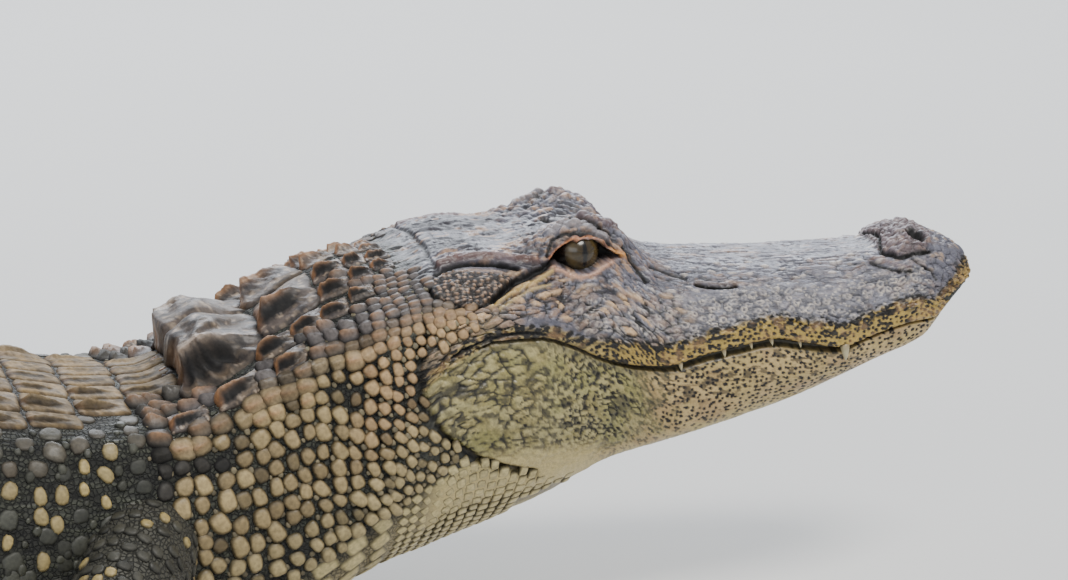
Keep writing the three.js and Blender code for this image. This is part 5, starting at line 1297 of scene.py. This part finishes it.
# painted shade: upper neck scales just behind the great shields are darkened, more of them towards the rear
shaded = neck_m & (smooth(470, 520, s_) * (1 - smooth(3.0, 3.8, v_)) > r1)
tone = np.where(shaded[:, None], rgb(56, 52, 46) * (0.6 + 0.7 * r2[:, None]), tone)
tone = np.where(spot[:, None], np.where(pale[:, None], np.array(mix(CREAM[None] * 0.86, rgb(140, 124, 84)[None], r1[:, None])), FLANK * (0.55 + 0.8 * r1[:, None])), tone)
tone = np.where((spot & ~pale & (v_ < 2.4))[:, None], np.array(mix(tone, rgb(86, 72, 54)[None], 0.45 * r2[:, None])), tone)
wave_a = a_ / 30 + 3.0 * fractal(s_ / 80, a_ / 40, 2, 641)
band = 0.5 + 0.5 * np.sin(s_ / 105.0 * 2 * np.pi + 0.7 * np.sin(a_ / 30) + 1.6 * (fractal(s_ / 90, a_ / 34, 2, 651) - 0.5) + 2.2 * np.sin(s_ / 260))
tail_tone = np.array(mix(rgb(50, 49, 42)[None], rgb(100, 94, 70)[None], (smooth(0.66, 0.98, band + 0.25 * (r2 - 0.5)) * smooth(0.8, 2.8, v_) * 0.85)[:, None]))
tone = np.where(tail_m[:, None], tail_tone * (0.75 + 0.5 * r1[:, None]), tone)
tone = np.where(belly_m[:, None], BELLY * (0.80 + 0.2 * r1[:, None]), tone)
half_b = (tail_m & (v_ > 4.3) & ~belly_m)
tone = np.where(half_b[:, None], np.array(mix(tone, BELLY[None] * 0.7, 0.25 + 0.5 * (r2 > 0.5)[:, None])), tone)
dark_neck = neck_m & ~belly_m & (r1 < 0.10)
tone = np.where(dark_neck[:, None], tone * 0.45, tone)
crest_ = np.where((neck_m & (r1 > 0.45))[:, None], rgb(164, 122, 84)[None] * (0.4 + 0.6 * r2[:, None]), tone * 1.25)
Q_, nn_, ts_, ta_ = body_frames(s_, a_, sd_)
uv_ = unwrap(s_, a_, sd_)


def turned(t1, t2, ang):
    c, q = np.cos(ang)[:, None], np.sin(ang)[:, None]
    return t1 * c + t2 * q, t2 * c - t1 * q


spin = np.random.default_rng(31).normal(0, 1, n_) * np.where(belly_m | tail_m, 0.02, np.where(nape_k > 0.5, 0.12, np.where(neck_m, 0.16, 0.3)))
ts_, ta_ = turned(ts_, ta_, spin)


def pick(name, mask, **kw):
    domes(name, Q_[mask], nn_[mask], ts_[mask], ta_[mask], lx_[mask], ly_[mask], H_[mask], keel_[mask], expo_[mask], tone[mask], crest_[mask], uv_[mask], **kw)


half_neck = np.median(s_[neck_m])
pick("scales_neck_front", neck_m & (s_ <= half_neck), n_ang=12, edge=0.2, rim=(0.42, 0.95))
pick("scales_neck_rear", neck_m & (s_ > half_neck), n_ang=14, edge=0.2, rim=(0.42, 0.95))
pick("scales_trunk", trunk_m, n_ang=10)
pick("scales_tail", tail_m, n_ang=10)
# beads that fill the spaces between the ovals


def beads(name, bm, fx, fy, base, lo, hi, n_ang, chance=1.0):
    q = rng.uniform(0, 1, (bm.sum(), 4))
    bs, ba, bside = s_[bm] + ps_[bm] * (0.5 + fx * (q[:, 0] - 0.5)), a_[bm] + pa_[bm] * (0.25 + fy * (q[:, 1] - 0.5)), sd_[bm]
    pq = np.nonzero(pale)[0]
    near_pale = np.zeros(len(bs), bool)
    if fx > 0.6:
        for j in pq:
            near_pale |= (np.abs(bs - s_[j]) < 6) & (np.abs(ba - a_[j]) < 7) & (bside == sd_[j])
    ok = ~near_pale & (bs < TRUNK_END) & (ba < half_girth(bs) - 3) & (ba > 2) & (q[:, 3] < chance)
    for g_ in SHIELDS:
        ok &= ~((np.abs(bs - g_[0]) < g_[2] / 2) & (np.abs(ba * bside - g_[1]) < g_[3] / 2))
    bs, ba, bside, q = bs[ok], ba[ok], bside[ok], q[ok]
    Qb, nb_, tsb, tab = body_frames(bs, ba, bside)
    z = lo + (hi - lo) * q[:, 2]
    domes(name, Qb, nb_, tsb, tab, z, z * 1.15, z * 0.3, z * 0, z * 0 + 2.1, base[None] * (0.5 + 0.7 * q[:, 3:4]), base[None] * (0.5 + 0.7 * q[:, 3:4]), unwrap(bs, ba, bside), n_ang=n_ang)


beads("beads_neck", neck_m & ~belly_m & (v_ > 0.7), 0.5, 0.3, rgb(112, 102, 78), 2.6, 4.4, 7)
beads("beads_flank", spot, 0.7, 0.6, rgb(58, 58, 48), 3.4, 7.0, 6)

# legs
LQ, LN, LTS, LTA, LXY, LC, LUV = [], [], [], [], [], [], []
for li, J, r0, pitch, h0 in leg_tubes:
    path = place(np.array([j[0] for j in J], float), np.array([j[1] for j in J], float), np.array([j[2] for j in J], float))
    length = np.linalg.norm(np.diff(path, axis=0), axis=1).sum()
    nt = max(3, int(length / pitch))
    bend = rng.uniform(0, 6.28)
    for i in range(nt):
        t = (i + 0.5) / nt
        r = spline(np.array([[j[3], j[4], 0] for j in J]), np.array([t]), False)[0, :2].mean()
        na = max(5, int(2 * np.pi * r / (pitch * 1.05)))
        a = (np.arange(na) + 0.5 * (i % 2)) / na * 2 * np.pi + rng.normal(0, 0.10, na) * (10 / r if r > 10 else 1)
        t = np.clip(t + (0.35 * np.sin(2 * a + bend) + 0.14 * rng.normal(0, 1, na)) * (1.0 if r0 > 10 else 0.3) / nt, 0, 1)
        p, n, d = limb_point(J, t, a, 1.6 if r0 > 10 else 0.5)
        LQ.append(p)
        LN.append(n)
        LTS.append(d)
        LTA.append(np.cross(n, d))
        LXY.append(np.tile([pitch * 0.86, 2 * np.pi * r / na * 0.88, r0, h0], (na, 1)))
        LUV.append(np.stack([0.02 + 0.225 * li + 0.2 * t, (0.01 if r0 > 10 else 0.09) + 0.06 * (a % (2 * np.pi)) / (2 * np.pi)], -1))
LQ, LN, LTS, LTA, LXY, LUV = [np.concatenate(q) for q in (LQ, LN, LTS, LTA, LXY, LUV)]
# only what stands clear of the trunk and the floor
trunk_w = np.interp(-LQ[:, 0], ARC_S, [float(WID[4](np.array(q))) for q in ARC_S])
ok = (np.abs(LQ[:, 1]) > trunk_w * 0.97) & (LQ[:, 2] > 1.5)
LQ, LN, LTS, LTA, LXY, LUV = [q[ok] for q in (LQ, LN, LTS, LTA, LXY, LUV)]
m = len(LQ)
r1 = rng.uniform(0, 1, m)
r2 = rng.uniform(0, 1, m)
cl = smooth(0.45, 0.62, fractal(LQ[:, 0] / 40, LQ[:, 2] / 30 + LQ[:, 1] / 70, 2, 661))
tone_l = np.where((r2 < 0.04 + 0.3 * cl)[:, None], CREAM[None] * (0.5 + 0.3 * r1[:, None]), rgb(60, 58, 49)[None] * (0.6 + 0.8 * r1[:, None]))
tone_l = np.array(mix(tone_l, rgb(150, 136, 100)[None], (smooth(22, 4, LQ[:, 2]) * 0.4)[:, None]))
LTS, LTA = turned(LTS, LTA, rng.normal(0, 0.15, m))
big_l = LXY[:, 2] > 10
for nm, q in (("scales_legs", big_l), ("scales_toes", ~big_l)):
    domes(nm, LQ[q], LN[q], LTS[q], LTA[q], LXY[q, 0] * (0.78 + 0.3 * r1[q]), LXY[q, 1] * (0.78 + 0.3 * r2[q]), np.where(big_l, 1.4, 0.8)[q], np.zeros(q.sum()), np.full(q.sum(), 2.5), tone_l[q], tone_l[q], LUV[q], n_ang=9 if nm == "scales_legs" else 7)
print("scales", [(o.name, len(o.data.polygons)) for o in scale_pieces])

# ------------------------------------------------------------------ materials


def hide_material(name, rough=(0.42, 0.68), bump=0.25, spec=0.5, scale=900.0, vary=0.18, grains=False, matt=0.3):
    m = bpy.data.materials.new(name)
    m.use_nodes = True
    nt = m.node_tree
    b = nt.nodes["Principled BSDF"]
    at = nt.nodes.new("ShaderNodeAttribute")
    at.attribute_name = "Col"
    tc = nt.nodes.new("ShaderNodeTexCoord")
    n1 = nt.nodes.new("ShaderNodeTexNoise")
    n1.inputs["Scale"].default_value = scale
    n1.inputs["Detail"].default_value = 4
    n2 = nt.nodes.new("ShaderNodeTexNoise")
    n2.inputs["Scale"].default_value = 60
    n2.inputs["Detail"].default_value = 6
    for n in (n1, n2):
        nt.links.new(tc.outputs["Object"], n.inputs["Vector"])
    mr = nt.nodes.new("ShaderNodeMapRange")
    mr.inputs["From Min"].default_value, mr.inputs["From Max"].default_value = 0.3, 0.7
    mr.inputs["To Min"].default_value, mr.inputs["To Max"].default_value = 1 - vary, 1 + vary
    nt.links.new(n1.outputs["Fac"], mr.inputs["Value"])
    mul = nt.nodes.new("ShaderNodeVectorMath")
    mul.operation = "SCALE"
    nt.links.new(at.outputs["Color"], mul.inputs[0])
    nt.links.new(mr.outputs["Result"], mul.inputs["Scale"])
    r = nt.nodes.new("ShaderNodeMapRange")
    r.inputs["From Min"].default_value, r.inputs["From Max"].default_value = 0.35, 0.65
    r.inputs["To Min"].default_value, r.inputs["To Max"].default_value = rough
    nt.links.new(n2.outputs["Fac"], r.inputs["Value"])
    bp = nt.nodes.new("ShaderNodeBump")
    bp.inputs["Strength"].default_value = bump
    bp.inputs["Distance"].default_value = 0.0006
    nt.links.new(n1.outputs["Fac"], bp.inputs["Height"])
    # black grooves are matt
    bw = nt.nodes.new("ShaderNodeRGBToBW")
    nt.links.new(at.outputs["Color"], bw.inputs["Color"])
    dk = nt.nodes.new("ShaderNodeMapRange")
    dk.inputs["From Min"].default_value, dk.inputs["From Max"].default_value = 0.006, 0.035
    dk.inputs["To Min"].default_value, dk.inputs["To Max"].default_value = matt, 0.0
    nt.links.new(bw.outputs["Val"], dk.inputs["Value"])
    sm = nt.nodes.new("ShaderNodeMath")
    sm.operation = "ADD"
    nt.links.new(r.outputs["Result"], sm.inputs[0])
    nt.links.new(dk.outputs["Result"], sm.inputs[1])
    colour_out, rough_out, normal_out = mul.outputs["Vector"], sm.outputs["Value"], bp.outputs["Normal"]
    if grains:
        # behind the head the bare hide between the scales is covered in fine grains
        xyz = nt.nodes.new("ShaderNodeSeparateXYZ")
        nt.links.new(tc.outputs["Object"], xyz.inputs["Vector"])
        behind = nt.nodes.new("ShaderNodeMapRange")
        behind.inputs["From Min"].default_value, behind.inputs["From Max"].default_value = 0.80, 0.77
        nt.links.new(xyz.outputs["X"], behind.inputs["Value"])
        vo = nt.nodes.new("ShaderNodeTexVoronoi")
        vo.feature = "DISTANCE_TO_EDGE"
        vo.inputs["Scale"].default_value = 330.0
        nt.links.new(tc.outputs["Object"], vo.inputs["Vector"])
        edge = nt.nodes.new("ShaderNodeMapRange")
        edge.inputs["From Min"].default_value, edge.inputs["From Max"].default_value = 0.0, 0.16
        nt.links.new(vo.outputs["Distance"], edge.inputs["Value"])
        lift = nt.nodes.new("ShaderNodeMath")
        lift.operation = "MULTIPLY"
        nt.links.new(edge.outputs["Result"], lift.inputs[0])
        nt.links.new(behind.outputs["Result"], lift.inputs[1])
        bg = nt.nodes.new("ShaderNodeBump")
        bg.inputs["Strength"].default_value = 0.9
        bg.inputs["Distance"].default_value = 0.0012
        nt.links.new(lift.outputs["Value"], bg.inputs["Height"])
        nt.links.new(normal_out, bg.inputs["Normal"])
        normal_out = bg.outputs["Normal"]
        dim = nt.nodes.new("ShaderNodeMapRange")
        dim.inputs["To Min"].default_value, dim.inputs["To Max"].default_value = 0.35, 1.0
        nt.links.new(edge.outputs["Result"], dim.inputs["Value"])
        dw = nt.nodes.new("ShaderNodeMix")
        dw.data_type = "FLOAT"
        dw.inputs[2].default_value = 1.0
        nt.links.new(behind.outputs["Result"], dw.inputs[0])
        nt.links.new(dim.outputs["Result"], dw.inputs[3])
        m2 = nt.nodes.new("ShaderNodeVectorMath")
        m2.operation = "SCALE"
        nt.links.new(colour_out, m2.inputs[0])
        nt.links.new(dw.outputs[0], m2.inputs["Scale"])
        colour_out = m2.outputs["Vector"]
        add = nt.nodes.new("ShaderNodeMath")
        add.operation = "MULTIPLY_ADD"
        add.inputs[1].default_value = 0.2
        nt.links.new(behind.outputs["Result"], add.inputs[0])
        nt.links.new(rough_out, add.inputs[2])
        rough_out = add.outputs["Value"]
    nt.links.new(colour_out, b.inputs["Base Color"])
    nt.links.new(rough_out, b.inputs["Roughness"])
    nt.links.new(normal_out, b.inputs["Normal"])
    b.inputs["Specular IOR Level"].default_value = spec
    return m


def plain_material(name, colour=None, rough=0.3, coat=0.0, attribute=False):
    m = bpy.data.materials.new(name)
    m.use_nodes = True
    nt = m.node_tree
    b = nt.nodes["Principled BSDF"]
    b.inputs["Roughness"].default_value = rough
    b.inputs["Coat Weight"].default_value = coat
    b.inputs["Coat Roughness"].default_value = 0.03
    if attribute:
        at = nt.nodes.new("ShaderNodeAttribute")
        at.attribute_name = "Col"
        nt.links.new(at.outputs["Color"], b.inputs["Base Color"])
    else:
        tc = nt.nodes.new("ShaderNodeTexCoord")
        n1 = nt.nodes.new("ShaderNodeTexNoise")
        n1.inputs["Scale"].default_value = 3.0
        nt.links.new(tc.outputs["Object"], n1.inputs["Vector"])
        rp = nt.nodes.new("ShaderNodeMix")
        rp.data_type = "RGBA"
        rp.inputs["A"].default_value = (*colour, 1)
        rp.inputs["B"].default_value = (*[c * 0.96 for c in colour], 1)
        nt.links.new(n1.outputs["Fac"], rp.inputs["Factor"])
        nt.links.new(rp.outputs["Result"], b.inputs["Base Color"])
    return m


def wear(o, m, body="root"):
    o.data.materials.clear()
    o.data.materials.append(m)
    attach(o, body)


HIDE = hide_material("hide", (0.32, 0.52), 0.35, 0.58, grains=True)
wear(skin, HIDE)
flesh = [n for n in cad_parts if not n.startswith(("eye_", "claw_"))]
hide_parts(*flesh)
SCALE_MAT = hide_material("scale_horn", (0.40, 0.66), 0.5, 0.45, 420.0, 0.26)
BACK_MAT = hide_material("back_horn", (0.58, 0.82), 0.5, 0.3, 420.0, 0.26)
for o in scale_pieces:
    wear(o, BACK_MAT if o.name == "scutes_back" else SCALE_MAT)
EYE_MAT = plain_material("eye_surface", rough=0.2, coat=0.12, attribute=True)
for o in eyes:
    wear(o, EYE_MAT)
    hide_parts("eye_right" if o.name.endswith("right") else "eye_left")
wear(teeth, plain_material("tooth", rough=0.35, attribute=True))
CLAW_MAT = hide_material("claw_horn", (0.25, 0.4), 0.1, 0.5, 400.0, 0.25)
for name, o in claws:
    wear(o, CLAW_MAT)
    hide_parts(name)

# ------------------------------------------------------------------ floor and light
me = bpy.data.meshes.new("floor")
me.from_pydata([(-30, -30, -0.0005), (30, -30, -0.0005), (30, 30, -0.0005), (-30, 30, -0.0005)], [], [(0, 1, 2, 3)])
floor = bpy.data.objects.new("floor", me)
bpy.context.scene.collection.objects.link(floor)
floor.data.materials.append(plain_material("floor", (0.62, 0.61, 0.59), 0.85))
world = bpy.data.worlds.new("world")
bpy.context.scene.world = world
world.use_nodes = True
world.node_tree.nodes["Background"].inputs["Color"].default_value = (0.86, 0.92, 1.0, 1)
world.node_tree.nodes["Background"].inputs["Strength"].default_value = 0.62


def soft(name, at, aim, size, power, colour=(1, 1, 1)):
    d = bpy.data.lights.new(name, "AREA")
    d.shape, d.size, d.size_y, d.energy, d.color = "RECTANGLE", size[0], size[1], power, colour
    o = bpy.data.objects.new(name, d)
    bpy.context.scene.collection.objects.link(o)
    o.location = at
    o.rotation_euler = (Vector(aim) - Vector(at)).to_track_quat("-Z", "Y").to_euler()
    return o


soft("key", (1.6, -1.6, 3.0), (0.7, 0, 0.1), (1.4, 1.0), 100, (1.0, 0.97, 0.92))
soft("fill", (-1.2, -3.2, 1.6), (0.3, 0, 0.15), (2.5, 1.5), 28, (0.9, 0.95, 1.0))
soft("back", (1.1, 2.6, 2.2), (0.8, 0, 0.2), (3.4, 1.4), 170, (0.88, 0.93, 1.0))
